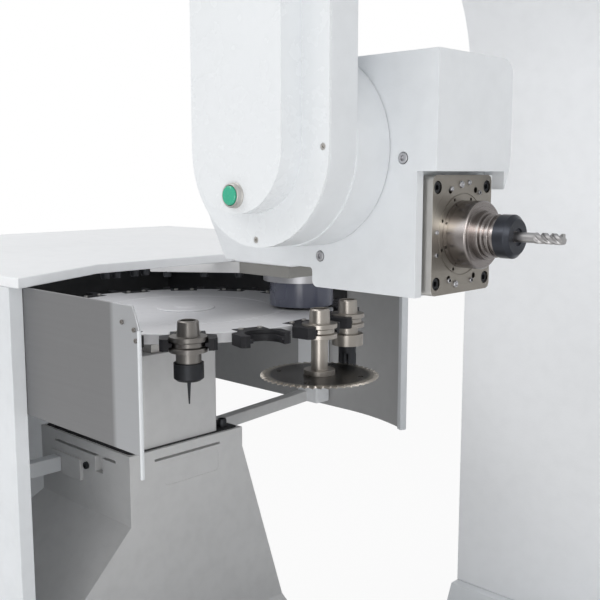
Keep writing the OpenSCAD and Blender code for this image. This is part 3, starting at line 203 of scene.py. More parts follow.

# %% [markdown]
# Bare steel shows how it was cut. Ground faces have fine straight scratches, and faces turned
# on a lathe have rings round their axis, which spread the light into two bright fans. The
# rings come from the distance to the axis, so they stay round wherever the piece is. The fans
# are painted highlights, mixed into the colour, and so is the lighter band on the guard plate:
# neither follows the lamps.

# %% Steels
def ground_metal(name, color, roughness=0.3, stretch=(6.0, 6.0, 420.0), depth=0.25):
    """Ground steel: noise that is stretched along the grinding direction gives long scratches,
    which lift the surface and change its gloss; broad clouds keep it from looking even."""
    steel = Finish(name, color, roughness, 1.0)
    along = steel.node("ShaderNodeMapping", None, {"Vector": steel.place, "Scale": stretch})
    scratch = steel.noise(1.0, 4.0, along)
    clouds = steel.ramp(steel.noise(9.0, 4.0), (0.3, 0.0), (0.7, 1.0))
    steel.set(**{"Base Color": steel.tint(clouds * 0.5, color, tuple(c * 0.78 for c in color)),
                 "Roughness": roughness + scratch * 0.12 + clouds * 0.08,
                 "Normal": steel.bump(scratch, depth, 0.0004)})
    return steel


# Painted highlight fans: their lean, sharpness, gain and brightest tone.
FAN_LEAN, FAN_POWER, FAN_GAIN, FAN_MOST = 0.30, 26.0, 3.0, 0.95
BAND_SCALE, DARK_BAND = 900.0, 0.85


def turned_metal(name, color, centre, pitch=0.0011, roughness=0.24, depth=0.5, painted_fan_share=0.8):
    """Turned steel: the height is a wave of the distance to the spindle axis, which runs along X
    through centre (Y, Z), so its grooves are rings; a slower wave of the same distance bands the tone.
    The fans are painted highlights mixed into the colour: a high power of the cosine between a point's
    direction from the axis and their own."""
    steel = Finish(name, color, roughness, 1.0)
    moved = steel.node("ShaderNodeMapping", None,
                       {"Vector": steel.place, "Location": (0.0, -centre[0], -centre[1])})
    parts = steel.node("ShaderNodeSeparateXYZ", None, {0: moved}, out="Y")
    height = Wire(steel, parts.socket.node.outputs["Z"])
    square = parts * parts + height * height
    radius = square.sum("POWER", square, 0.5)
    phase = radius * (math.tau / pitch)
    groove = phase.sum("SINE", phase)
    band = steel.noise(1.0, 3.0, steel.node("ShaderNodeCombineXYZ", None, {0: radius * BAND_SCALE}))
    lean = (parts * math.cos(FAN_LEAN) - height * math.sin(FAN_LEAN)) / radius
    along_fan = lean * lean
    painted_fan = along_fan.sum("POWER", along_fan, FAN_POWER)
    plain = steel.tint(band, color, tuple(c * DARK_BAND for c in color))
    bright = tuple(min(c * FAN_GAIN, FAN_MOST) for c in color)
    steel.set(**{"Base Color": steel.tint(painted_fan * painted_fan_share, plain, bright),
                 "Roughness": roughness + band * 0.1,
                 "Normal": steel.bump(groove + band * 2.0, depth, 0.00012)})
    return steel


SPINDLE_AXIS = (-0.320, 1.430)
ground_steel = ground_metal("ground_steel", (0.60, 0.585, 0.56))
tool_steel = ground_metal("tool_steel", (0.50, 0.49, 0.49), 0.26, (300.0, 12.0, 12.0), 0.15)
# The flange, nose, holder and nut steels carry painted fan highlights in their colour.
faced_steel = turned_metal("faced_flange_steel", (0.33, 0.305, 0.27), SPINDLE_AXIS)
nose_steel = turned_metal("faced_nose_steel", (0.30, 0.275, 0.265), SPINDLE_AXIS,
                          0.0009, 0.2, 0.35, painted_fan_share=0.95)
# The guard sheet carries a painted highlight: a lighter band across X, mixed into its colour.
SHEET_GREY, SHEET_PAINTED_HIGHLIGHT = (0.30, 0.30, 0.305), (0.52, 0.53, 0.545)
BAND_FROM, BAND_TO = 0.098, 0.108
sheet_steel = ground_metal("satin_guard_sheet", SHEET_GREY, 0.42, (4.0, 4.0, 160.0), 0.1)
across_sheet = sheet_steel.node("ShaderNodeSeparateXYZ", None, {0: sheet_steel.place}, out="X")
painted_highlight_band = sheet_steel.ramp((across_sheet - BAND_FROM) / (BAND_TO - BAND_FROM), (0.0, 0.0), (1.0, 1.0))
sheet_steel.set(**{"Base Color": sheet_steel.tint(painted_highlight_band, SHEET_GREY, SHEET_PAINTED_HIGHLIGHT)})
wheel_steel = ground_metal("satin_wheel_steel", (0.55, 0.55, 0.57), 0.34, (60.0, 60.0, 60.0), 0.12)
holder_steel = ground_metal("dark_holder_steel", (0.27, 0.255, 0.24), 0.26, (12.0, 12.0, 300.0), 0.15)
arbor_steel = ground_metal("warm_arbor_steel", (0.42, 0.39, 0.355), 0.26, (12.0, 12.0, 300.0), 0.15)
black_steel = ground_metal("black_oxide_steel", (0.055, 0.057, 0.062), 0.36, (40.0, 40.0, 40.0), 0.2)
nut_steel = turned_metal("blued_nut_steel", (0.060, 0.064, 0.075), SPINDLE_AXIS,
                         0.0008, 0.26, 0.2, painted_fan_share=0.3)
SAW_AXIS, SAW_R, SAW_PITCH = (0.0275, -0.0598), 0.106, 0.0012


def blade_metal():
    """Saw steel: the distance to the arbor's axis divides the dark smoked body from the ground rim."""
    steel = Finish("smoked_saw_steel", (0.06, 0.055, 0.05), 0.3, 1.0)
    moved = steel.node("ShaderNodeMapping", None,
                       {"Vector": steel.place, "Location": (-SAW_AXIS[0], -SAW_AXIS[1], 0.0)})
    across = steel.node("ShaderNodeSeparateXYZ", None, {0: moved}, out="X")
    up = Wire(steel, across.socket.node.outputs["Y"])
    square = across * across + up * up
    radius = square.sum("POWER", square, 0.5)
    rim = steel.ramp((radius + steel.noise(60.0, 2.0) * 0.004) / SAW_R, (0.84, 0.0), (0.90, 1.0))
    phase = radius * (math.tau / SAW_PITCH)
    ring = phase.sum("SINE", phase)
    steel.set(**{"Base Color": steel.tint(rim, (0.055, 0.05, 0.046), (0.42, 0.39, 0.35)),
                 "Roughness": 0.28 + rim * 0.08, "Normal": steel.bump(ring, 0.3, 0.0001)})
    return steel


saw_steel = blade_metal()
print("eleven steels are cut")

# %% [markdown]
# The button cap is moulded green plastic with a slightly satin top, and the black grips that
# hold the tools are filled nylon, which is duller than steel.

# %% Plastics
green_plastic = Finish("green_button_plastic", (0.03, 0.44, 0.27), 0.24, **{"Coat Weight": 0.4})
green_grain = green_plastic.noise(600.0, 3.0)
green_cloud = green_plastic.noise(90.0, 3.0)
green_plastic.set(**{
    "Base Color": green_plastic.tint(green_cloud, (0.035, 0.47, 0.29), (0.025, 0.38, 0.23)),
    "Roughness": 0.2 + green_grain * 0.12, "Normal": green_plastic.bump(green_grain, 0.1)})

grip_nylon = Finish("black_grip_nylon", (0.012, 0.012, 0.014), 0.5, **{"Specular IOR Level": 0.3})
nylon_grain = grip_nylon.noise(420.0, 4.0)
nylon_cloud = grip_nylon.noise(20.0, 3.0)
grip_nylon.set(**{
    "Base Color": grip_nylon.tint(nylon_cloud, (0.010, 0.010, 0.012), (0.028, 0.028, 0.032)),
    "Roughness": 0.44 + nylon_grain * 0.2, "Normal": grip_nylon.bump(nylon_grain, 0.25)})
print("two plastics are moulded")

# %% [markdown]
# Every solid takes its finish from the slot that the record gives it. A few solids are cut
# another way than the rest of their slot, and are named on their own. The flange plate has two
# finishes: its face is turned, and its four narrow sides are ground.

# %% Finishes on the solids
FINISH_OF_SLOT = {
    "white_paint": white_paint, "cover_white": cover_white, "grey_paint": grey_paint,
    "beige_paint": beige_paint, "navy_paint": navy_paint, "ground_steel": ground_steel,
    "tool_steel": tool_steel, "black_steel": black_steel, "green_plastic": green_plastic}
FINISH_OF_NODE = {
    "flange_plate": faced_steel, "nose_ring": nose_steel, "spindle_shaft": nose_steel,
    "spindle_nut": nut_steel, "tool_forks": grip_nylon,
    "rear_guard": guard_paint, "saw_blade": saw_steel, "drill_holder": holder_steel,
    "cover_screws": ground_steel, "drive_flange": wheel_steel, "column": bright_paint,
    "saw_arbor": arbor_steel, "cutter_holder": arbor_steel}

slot_of = {part["node"]: part["material_slot"] for part in frame["record"]["subparts"]}
for name, node in frame["nodes"].items():
    finish = FINISH_OF_NODE.get(name, FINISH_OF_SLOT[slot_of[name]])
    node.data.materials.clear()
    node.data.materials.append(finish.material)

PLATE_RIM = 0.058
plate_mesh = frame["nodes"]["flange_plate"].data
plate_mesh.materials.append(ground_steel.material)
normals = np.empty(len(plate_mesh.polygons) * 3)
plate_mesh.polygons.foreach_get("normal", normals)
sides = (np.abs(normals.reshape(-1, 3)[:, 0]) < 0.5).astype(np.int32)
centres = np.empty(len(plate_mesh.polygons) * 3)
plate_mesh.polygons.foreach_get("center", centres)
sides *= np.max(np.abs(centres.reshape(-1, 3)[:, 1:] - SPINDLE_AXIS), axis=1) > PLATE_RIM
plate_mesh.polygons.foreach_set("material_index", sides)
print(len(frame["nodes"]), "solids have a finish,", int(sides.sum()), "faces of the plate are ground")

# %% [markdown]
# Some shapes of the photograph differ from the packed solids. Each is made again here from a
# drawn outline that is carried along an axis, or from a profile that is turned round one, and
# stands for its solid. Pockets and slots are cut by exact booleans, which leave clean flat faces.

# %% Outlines, turned profiles and cuts
CORNER_POINTS = 6


def put(name, points, faces, finish, body=None, slot=None, nodes=()):
    """Puts points and faces into a new object, turns its faces outwards and links it to the scene; with a
    body it is attached to that body, given its slot, and the solids it stands for are hidden.
    """
    mesh = bpy.data.meshes.new(name)
    mesh.from_pydata(np.asarray(points, float).tolist(), [], faces)
    work = bmesh.new()
    work.from_mesh(mesh)
    bmesh.ops.remove_doubles(work, verts=work.verts, dist=0.000005)
    bmesh.ops.recalc_face_normals(work, faces=work.faces)
    work.to_mesh(mesh)
    work.free()
    mesh.materials.append(finish.material)
    piece = bpy.data.objects.new(name, mesh)
    bpy.context.scene.collection.objects.link(piece)
    if body:
        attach(piece, body)
        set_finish(piece, slot)
        if nodes:
            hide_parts(*nodes)
    return piece


def carried(outline, axis, low, high):
    """An outline of the two other axes, in their order, carried along axis from low to high: one ring
    of points at each end, a face between each pair of neighbours and the two ends closed."""
    flat = np.asarray(outline, float)
    rings = np.stack([np.insert(flat, axis, end, axis=1) for end in (low, high)])
    count = len(flat)
    side = np.arange(count)
    onward = (side + 1) % count
    faces = np.stack([side, onward, onward + count, side + count], axis=1).tolist()
    return rings.reshape(-1, 3), faces + [side[::-1].tolist(), (side + count).tolist()]


def turned(profile, axis, centre, steps=96):
    """A closed profile of (along, radius) turned about an axis line: a point is the centre plus radius
    times cosine and sine on the two other axes, for each of the equal steps of a full turn."""
    along, radius = np.asarray(profile, float).T
    angle = np.arange(steps) * math.tau / steps
    grid = np.empty((steps, len(along), 3))
    first, second = [a for a in range(3) if a != axis]
    grid[..., axis] = along
    grid[..., first] = centre[0] + np.outer(np.cos(angle), radius)
    grid[..., second] = centre[1] + np.outer(np.sin(angle), radius)
    turn, step = np.meshgrid(np.arange(steps), np.arange(len(along)), indexing="ij")
    following, beyond = (turn + 1) % steps, (step + 1) % len(along)
    corners = [turn * len(along) + step, following * len(along) + step,
               following * len(along) + beyond, turn * len(along) + beyond]
    return grid.reshape(-1, 3), np.stack(corners, axis=-1).reshape(-1, 4).tolist()


def box_outline(x0, x1, y0, y1, r=0.0):
    """A rectangle whose corners are quarter circles of radius r."""
    if r == 0:
        return [(x0, y0), (x1, y0), (x1, y1), (x0, y1)]
    angle = np.linspace(0, math.pi / 2, CORNER_POINTS)
    corners = []
    for i, (cx, cy) in enumerate([(x1 - r, y1 - r), (x0 + r, y1 - r), (x0 + r, y0 + r), (x1 - r, y0 + r)]):
        corners += [(cx + r * math.cos(a), cy + r * math.sin(a)) for a in angle + i * math.pi / 2]
    return corners


def joined(shapes):
    """Several shapes as one list of points and one of faces."""
    points, faces, shift = [], [], 0
    for shape_points, shape_faces in shapes:
        points.append(shape_points)
        faces += [[corner + shift for corner in face] for face in shape_faces]
        shift += len(shape_points)
    return np.concatenate(points), faces


def button_head(x, y, z, axis, out, size, height):
    """The profile of a cap screw: a round head with a softened rim and a hollow for the key."""
    along = (x, y, z)[axis]
    profile = [(along - out * 0.002, 0.0), (along - out * 0.002, size), (along + out * height * 0.8, size),
               (along + out * height, size * 0.85), (along + out * height, size * 0.5),
               (along + out * height * 0.4, size * 0.45), (along + out * height * 0.4, 0.0)]
    return turned(profile, axis, [v for a, v in enumerate((x, y, z)) if a != axis], 24)


def cut(piece, operation, *shapes):
    """Applies a boolean with each of the shapes, given as points and faces, to the piece's mesh."""
    for points, faces in shapes:
        tool = put("tool", points, faces, white_paint)
        step = piece.modifiers.new("cut", "BOOLEAN")
        step.operation, step.object, step.solver = operation, tool, "EXACT"
        seen = piece.evaluated_get(bpy.context.evaluated_depsgraph_get())
        result = bpy.data.meshes.new_from_object(seen)
        piece.modifiers.remove(step)
        old, piece.data = piece.data, result
        result.name = piece.name
        bpy.data.objects.remove(tool)
        bpy.data.meshes.remove(old)
    return piece


def reshaped(name, node, move, finish=None):
    """A copy of a solid's mesh, its points moved by a function of their coordinates, in its place."""
    source = frame["nodes"][node]
    points = np.empty(len(source.data.vertices) * 3)
    source.data.vertices.foreach_get("co", points)
    faces = [tuple(face.vertices) for face in source.data.polygons]
    body = next(b for b, nodes in frame["record"]["behaviour"]["bodies"].items() if node in nodes)
    finish = finish or FINISH_OF_NODE.get(node, FINISH_OF_SLOT[slot_of[node]])
    return put(name, move(points.reshape(-1, 3)), faces, finish, body, slot_of[node], (node,))


print("outlines, turned profiles and cuts are ready")

# %% [markdown]
# The start button's bezel is a deep ring, so that the green cap barely stands out of it.

# %% Button bezel
FACE_Y, BEZEL_R, BEZEL_NECK = -0.531, 0.0146, 0.0138
put("deep_button_bezel", *turned(
    [(FACE_Y + 0.0005, 0.0112), (FACE_Y + 0.0005, BEZEL_R), (FACE_Y - 0.0015, BEZEL_R),
     (FACE_Y - 0.002, BEZEL_NECK), (FACE_Y - 0.0066, BEZEL_NECK), (FACE_Y - 0.008, 0.0130),
     (FACE_Y - 0.008, 0.0114)], 1, (0.332, 1.476)),
    ground_steel, "yoke", "ground_steel", ("button_bezel",))
print("the bezel is", BEZEL_R * 2, "m across")

# %% [markdown]
# The milling head's casting hangs over the flange plate: its right side stands out beyond the
# plate and ends in a pocket that is open to the front and below. Its lower left corner is cut
# off at a slant. Seen from the side, its back is flat and then curves in to the spindle block.

# %% Milling head casting
HEAD_LEFT, HEAD_RIGHT, HEAD_TOP, HEAD_LOW, HEAD_MID = 0.104, 0.5125, 1.635, 1.360, 1.384
HEAD_FRONT, HEAD_BACK, BLOCK_BACK, BACK_CURVE = -0.397, -0.245, -0.2605, 0.084
POCKET_X, POCKET_TOP, PLATE_SEAT_X, CURVE_Z, TOP_ROUND = 0.4855, 1.503, 0.479, 1.527, 0.02

front_outline = [(HEAD_RIGHT, HEAD_LOW), (HEAD_RIGHT, HEAD_TOP), (HEAD_LEFT + 0.03, HEAD_TOP),
                 (HEAD_LEFT, HEAD_TOP - 0.03), (HEAD_LEFT, 1.486), (0.160, 1.3875), (0.163, HEAD_MID)]
front_outline += [(0.3215 + 0.0045 * math.sin(a), 1.3795 + 0.0045 * math.cos(a))
                  for a in np.linspace(0, math.pi / 2, 5)]
front_outline += [(0.334 - 0.008 * math.cos(a), 1.368 - 0.008 * math.sin(a))
                  for a in np.linspace(0, math.pi / 2, 5)]
meet = math.acos((BLOCK_BACK - HEAD_BACK + BACK_CURVE) / BACK_CURVE)
side_outline = [(HEAD_FRONT - 0.01, HEAD_LOW - 0.01), (BLOCK_BACK, HEAD_LOW - 0.01)]
side_outline += [(HEAD_BACK - BACK_CURVE + BACK_CURVE * math.cos(a), CURVE_Z + BACK_CURVE * math.sin(a))
                 for a in np.linspace(-meet, 0, 13)]
side_outline += [(HEAD_BACK - TOP_ROUND + TOP_ROUND * math.cos(a),
                  HEAD_TOP - TOP_ROUND + TOP_ROUND * math.sin(a))
                 for a in np.linspace(0, math.pi / 2, 5)] + [(HEAD_FRONT - 0.01, HEAD_TOP)]
casting = put("head_casting", *carried(front_outline, 1, HEAD_FRONT, HEAD_BACK), white_paint,
              "head", "white_paint", ("head_housing",))
cut(casting, "INTERSECT", carried(side_outline, 0, HEAD_LEFT - 0.01, HEAD_RIGHT + 0.01))
cut(casting, "DIFFERENCE",
    carried(box_outline(POCKET_X, HEAD_RIGHT + 0.01, HEAD_FRONT - 0.01, -0.2585),
            2, HEAD_LOW - 0.01, POCKET_TOP),
    carried(box_outline(PLATE_SEAT_X, POCKET_X + 0.01, -0.3845, -0.25),
            2, HEAD_LOW - 0.01, POCKET_TOP))
BOLT_PLACES, BORE_R, BOLT_R, KEY_R = ((0.4659, 1.5178), (0.3393, 1.3991)), 0.0070, 0.0063, 0.0034
bores, heads = [], []
for x, z in BOLT_PLACES:
    bores.append(turned([(HEAD_FRONT - 0.01, 0.0), (HEAD_FRONT - 0.01, BORE_R),
                         (HEAD_FRONT + 0.004, BORE_R), (HEAD_FRONT + 0.004, 0.0)], 1, (x, z), 48))
    heads.append(turned([(HEAD_FRONT + 0.003, 0.0), (HEAD_FRONT + 0.003, BOLT_R),
                         (HEAD_FRONT - 0.0006, BOLT_R), (HEAD_FRONT - 0.0014, BOLT_R - 0.0008),
                         (HEAD_FRONT - 0.0014, 0.0)], 1, (x, z), 48))
cut(casting, "DIFFERENCE", *bores)
bolts = put("housing_screws", *joined(heads), wheel_steel, "head", "black_steel", ("housing_bolts",))
for x, z in BOLT_PLACES:
    hexagon = [(x + KEY_R * math.cos(a), z + KEY_R * math.sin(a)) for a in np.radians(np.arange(10, 370, 60))]
    cut(bolts, "DIFFERENCE", carried(hexagon, 1, HEAD_FRONT - 0.003, HEAD_FRONT + 0.002))
print("the casting has", len(casting.data.polygons), "faces")

# %% [markdown]
# The holder in the spindle is small: its flange is only as wide as the collet nut. It is turned
# from one profile of distances along the axis and radii.

# %% Tool holder in the spindle
END_X, FLANGE_R, GROOVE_R, COLLAR_R, NECK_R = 0.534, 0.025, 0.0215, 0.022, 0.016
holder_profile = [(END_X - 0.004, 0.0), (END_X - 0.004, 0.018), (END_X, 0.019), (END_X, 0.0245),
                  (END_X + 0.0006, FLANGE_R), (END_X + 0.0034, FLANGE_R), (END_X + 0.005, GROOVE_R),
                  (END_X + 0.0075, GROOVE_R), (END_X + 0.009, FLANGE_R), (END_X + 0.0104, FLANGE_R),
                  (END_X + 0.011, 0.0244), (END_X + 0.011, COLLAR_R), (END_X + 0.017, COLLAR_R),
                  (END_X + 0.017, NECK_R), (END_X + 0.033, NECK_R), (END_X + 0.033, 0.0)]
put("slim_tool_holder", *turned(holder_profile, 0, SPINDLE_AXIS), nose_steel,
    "spindle", "tool_steel", ("spindle_holder",))
print("the holder's flange is", FLANGE_R * 2, "m across")

# %% [markdown]
# An end mill is ground from a round bar: three grooves wind round it like the stripes of a
# barber's pole. Its surface is worked out point by point: the radius dips wherever the angle,
# less a twist that grows along the bar, meets a groove.

# %% End mill with spiral flutes
MILL_R, MILL_FROM, MILL_FLUTE, MILL_TO = 0.0062, 0.567, 0.592, 0.626
FLUTES, LEAD, FLUTE_DEPTH, SHANK_SHARE = 3.0, 0.034, 0.42, 0.93
along, angle = np.meshgrid(np.linspace(MILL_FROM, MILL_TO, 90), np.arange(72) * math.tau / 72,
                           indexing="ij")
twist = FLUTES * (angle - (along - MILL_FLUTE) * math.tau / LEAD)
opened = np.clip((along - MILL_FLUTE) / 0.004, 0.0, 1.0)
radius = MILL_R * (1.0 - FLUTE_DEPTH * opened * np.clip(np.sin(twist), 0.0, 1.0) ** 0.6)
radius *= np.where(along < MILL_FLUTE, SHANK_SHARE, 1.0)
points = np.stack([along, SPINDLE_AXIS[0] + radius * np.cos(angle),
                   SPINDLE_AXIS[1] + radius * np.sin(angle)], -1)
rows, count = along.shape
step, turn = np.meshgrid(np.arange(rows - 1), np.arange(count), indexing="ij")
onward = (turn + 1) % count
faces = np.stack([step * count + turn, step * count + onward, (step + 1) * count + onward,
                  (step + 1) * count + turn], -1).reshape(-1, 4).tolist()
faces += [list(range(count)), list(range((rows - 1) * count, rows * count))]
put("spiral_end_mill", points.reshape(-1, 3), faces, tool_steel,
    "spindle", "tool_steel", ("end_mill",))
print("the mill has", len(faces), "faces")

# %% [markdown]
# The flange plate carries small plugs and grease nipples beside its bolts, each a short turned
# button with a hollow end.

# %% Plugs on the flange plate
PLATE_X = 0.496
PLUGS = ((-0.004, 0.058, 0.0042), (-0.024, 0.053, 0.0030), (0.012, 0.060, 0.0030),
         (0.034, 0.048, 0.0028), (-0.012, -0.058, 0.0042), (-0.026, -0.053, 0.0030),
         (0.040, -0.030, 0.0028), (-0.052, 0.004, 0.0028), (0.020, -0.056, 0.0030),
         (-0.052, -0.022, 0.0026))
for number, (across, up, size) in enumerate(PLUGS):
    put(f"plate_plug_{number}", *turned(
        [(PLATE_X - 0.002, 0.0), (PLATE_X - 0.002, size), (PLATE_X + 0.0012, size),
         (PLATE_X + 0.0022, size * 0.8), (PLATE_X + 0.0022, size * 0.5), (PLATE_X + 0.0004, size * 0.42),
         (PLATE_X + 0.0004, 0.0)],
        0, (SPINDLE_AXIS[0] + across, SPINDLE_AXIS[1] + up), 24), wheel_steel, "head", "ground_steel")
print(len(PLUGS), "plugs sit in the plate")

# %% [markdown]
# The magazine stands in a folded sheet cabinet. Its front panel ends short of the roof's corner,
# the roof is a thick plate with a slanted corner, and a guard plate with a white fold reaches
# towards the head. The curved rear guard is the solid's own, ending one degree earlier.

# %% Cabinet, roof and guard plate
AXIS_X, AXIS_Y = -0.300, -0.100
ROOF_TOP, ROOF_LOW, PANEL_EDGE, PANEL_Y = 1.350, 1.334, -0.128, -0.569
GUARD_R, SHIELD_Y, BEAM_LOW = 0.499, -0.546, 1.3125
SOLID_GUARD_END, GUARD_END = 66.0, 67.0

put("folded_front_panel", *carried(
    [(-0.997, PANEL_Y), (PANEL_EDGE, PANEL_Y), (PANEL_EDGE, -0.546), (PANEL_EDGE - 0.024, -0.546),
     (PANEL_EDGE - 0.024, -0.549), (PANEL_EDGE - 0.003, -0.549), (PANEL_EDGE - 0.003, PANEL_Y + 0.003),
     (-0.997, PANEL_Y + 0.003)], 2, 0.068, ROOF_LOW), white_paint, "root", "white_paint", ("front_panel",))
guard = [(AXIS_X + GUARD_R * math.cos(a), AXIS_Y + GUARD_R * math.sin(a))
         for a in np.radians(np.linspace(SOLID_GUARD_END, 90, 9))]
put("thick_roof", *carried(
    [(-1.0, PANEL_Y), (-0.098, PANEL_Y), (-0.190, -0.374), (-0.185, -0.072), (-0.030, -0.072),
     (-0.030, 0.334), (-0.084, 0.354)] + guard + [(-1.0, 0.399)], 2, ROOF_LOW, ROOF_TOP),
    bright_paint, "root", "white_paint", ("roof",))
put("guard_plate_at_head", *carried(
    [(-0.150, 1.136), (0.157, 1.135), (0.157, 1.103), (0.163, 1.103), (0.163, 1.303), (0.150, 1.333),
     (-0.150, 1.333)], 1, SHIELD_Y, SHIELD_Y + 0.003), sheet_steel, "root", "grey_paint", ("shield_plate",))
put("guard_plate_fold", *carried(box_outline(0.1595, 0.1635, 1.103, 1.302), 1, -0.5475, -0.5415),
    white_paint, "root", "white_paint")
# The cabinet liner is painted shade: a near black sheet on the cabinet's inner side and back under the roof.
put("dark_cabinet_liner", *carried(
    [(-0.995, -0.40), (-0.995, 0.392), (AXIS_X, 0.392), (AXIS_X, 0.388), (-0.991, 0.388),
     (-0.991, -0.40)], 2, 1.14, ROOF_LOW - 0.0005), shade_and_seal_black, "root", "grey_paint")
put("drive_plate_beam", *carried(
    [(-0.172, -0.070), (-0.172, -0.020), (-0.300, -0.122), (-0.313, -0.176)],
    2, BEAM_LOW, ROOF_LOW - 0.0002), grey_paint, "root", "grey_paint")


def wound(points, low, high):
    """Turns points about the wheel's axis: those on the curved guard, between its end and straight
    back, keep their share of the arc while the end moves from the low angle to the high one."""
    x, y = points[:, 0] - AXIS_X, points[:, 1] - AXIS_Y
    angle, radius = np.degrees(np.arctan2(y, x)), np.hypot(x, y)
    share = (90.0 - angle) / (90.0 - low)
    moved = np.radians(np.where(angle < 90.0, 90.0 - share * (90.0 - high), angle))
    return np.stack([AXIS_X + radius * np.cos(moved), AXIS_Y + radius * np.sin(moved), points[:, 2]], -1)


reshaped("curved_rear_guard", "rear_guard", lambda p: wound(p, SOLID_GUARD_END, GUARD_END))
reshaped("guard_edge_tube", "guard_edge_post", lambda p: wound(p, SOLID_GUARD_END, GUARD_END))
SHIELD_SCREWS = ((0.1267, 1.3093), (0.1528, 1.3019), (0.1565, 1.2881))
ROOF_SCREW_Y = (-0.352, -0.330, -0.292, -0.270)
BEAM_SCREWS = ((-0.292, -0.150), (-0.240, -0.100), (-0.186, -0.058))
put("guard_plate_screws", *joined(
    [button_head(x, SHIELD_Y, z, 1, -1, 0.0033, 0.002) for x, z in SHIELD_SCREWS]),
    holder_steel, "root", "black_steel", ("magazine_screws",))
put("roof_edge_screws", *joined(
    [button_head(-0.200, y, ROOF_LOW, 2, -1, 0.008, 0.011) for y in ROOF_SCREW_Y]
    + [button_head(x, y, BEAM_LOW, 2, -1, 0.008, 0.010) for x, y in BEAM_SCREWS]),
    black_steel, "root", "black_steel")
print("cabinet, roof and guard plate are folded")

# %% [markdown]
# The pedestal is a casting: straight at its top, where it has two narrow slots, a small cut-out
# and a shallow recess, and flared below. A square bar braces it to the front panel, and a slim
# rail ties it to the rear post.

# %% Pedestal, bars and post
PED_X0, PED_X1, PED_Y0, PED_Y1, PED_TOP = -0.514, -0.208, -0.308, -0.034, 0.995
RAIL_LOW, RAIL_TOP, POST_Y, SEAL_T, SEAL_IN = 0.945, 0.971, 0.342, 0.0015, 0.006
pedestal = put("cast_pedestal", *carried(
    [(PED_X0 - 0.12, 0.068), (PED_X0 - 0.12, 0.70), (PED_X0, 0.86), (PED_X0, PED_TOP), (PED_X1, PED_TOP),
     (PED_X1, 0.60), (PED_X1 + 0.09, 0.48), (PED_X1 + 0.09, 0.068)], 1, PED_Y0 - 0.2, 0.23),
    grey_paint, "root", "grey_paint", ("pedestal",))
cut(pedestal, "INTERSECT", carried(
    [(PED_Y0 - 0.16, 0.05), (PED_Y0 - 0.16, 0.70), (PED_Y0, 0.862), (PED_Y0, PED_TOP + 0.01),
     (PED_Y1, PED_TOP + 0.01), (PED_Y1, 0.955), (PED_Y1 + 0.245, 0.18), (PED_Y1 + 0.245, 0.05)],
    0, PED_X0 - 0.2, 0.1))
cut(pedestal, "DIFFERENCE",
    carried(box_outline(-0.252, -0.093, 0.9725, 0.9775), 0, PED_X1 - 0.012, PED_X1 + 0.01),
    carried(box_outline(-0.462, -0.253, 0.9725, 0.9775), 1, PED_Y0 - 0.01, PED_Y0 + 0.012),
    carried(box_outline(-0.320, -0.295, 0.943, 0.974), 1, PED_Y0 - 0.01, PED_Y0 + 0.012),
    carried(box_outline(-0.231, -0.097, 0.921, 0.966, 0.01), 0, PED_X1 - 0.0012, PED_X1 + 0.01))
put("brace_boss", *carried(box_outline(-0.470, -0.364, 0.912, 0.956, 0.006),
                           1, PED_Y0 - 0.006, PED_Y0 + 0.002), grey_paint, "root", "grey_paint")
put("white_brace_bar", *carried(box_outline(-0.457, -0.431, 0.918, 0.948), 1, -0.566, PED_Y0 - 0.006),
    white_paint, "root", "white_paint", ("brace_bar",))
put("slim_support_rail", *carried(
    [(-0.3635, PED_Y1 - 0.002), (-0.3375, PED_Y1 - 0.002), (-0.386, POST_Y + 0.001),
     (-0.412, POST_Y + 0.001)], 2, RAIL_LOW, RAIL_TOP), grey_paint, "root", "grey_paint", ("support_rail",))
# The rear post takes the lighter white as painted light, since it stands in shade.
put("short_rear_post", *carried(box_outline(-0.418, -0.352, POST_Y, 0.388, 0.005), 2, RAIL_LOW, ROOF_LOW),
    bright_paint, "root", "white_paint", ("rear_post",))
put("plain_box_column", *carried(box_outline(-0.450, -0.220, -0.268, -0.088, 0.008), 2, PED_TOP, 1.172),
    grey_paint, "root", "grey_paint", ("carousel_column",))
put("dark_pedestal_seal", *carried(
    box_outline(PED_X0 + SEAL_IN, PED_X1 - SEAL_IN, PED_Y0 + SEAL_IN, PED_Y1 - SEAL_IN, 0.01),
    2, PED_TOP, PED_TOP + SEAL_T), shade_and_seal_black, "root", "grey_paint")
put("pedestal_clamps", *joined(
    [button_head(x, y, PED_TOP + SEAL_T, 2, 1, 0.009, 0.016) for x, y in ((-0.236, -0.063), (-0.476, -0.290))]
    + [button_head(-0.348, PED_Y0, 0.948, 1, -1, 0.007, 0.006)]), black_steel, "root", "black_steel")
print("the pedestal has", len(pedestal.data.polygons), "faces")

# %% [markdown]
# The wheel of tools is a plain plate with notches for the grippers. The photograph shows no gear
# teeth, so the ring gear is almost sunk in the plate and the drive above it is an uncut skirt.
# The saw blade hangs closer to its gripper and the drill is slim.

# %% Wheel and tools
DISC_LOW, DISC_TOP, DISC_R, PLACE_R, PLACES = 1.217, 1.235, 0.295, 0.330, 16
FIRST_PLACE, SEAT_IN, SEAT_OUT, SEAT_HALF = -38.0, 0.268, 0.32, 0.03
RING_SHARE, HUB_SHARE = 0.02, 0.25


def place_angle(i):
    """The direction of a tool place: even steps of a full turn, from the drill's place on."""
    return math.radians(FIRST_PLACE + 360 / PLACES * i)


def place(i):
    """The axis of a tool place: the wheel's centre plus its radius in the direction of the place."""
    angle = place_angle(i)
    return AXIS_X + PLACE_R * math.cos(angle), AXIS_Y + PLACE_R * math.sin(angle)


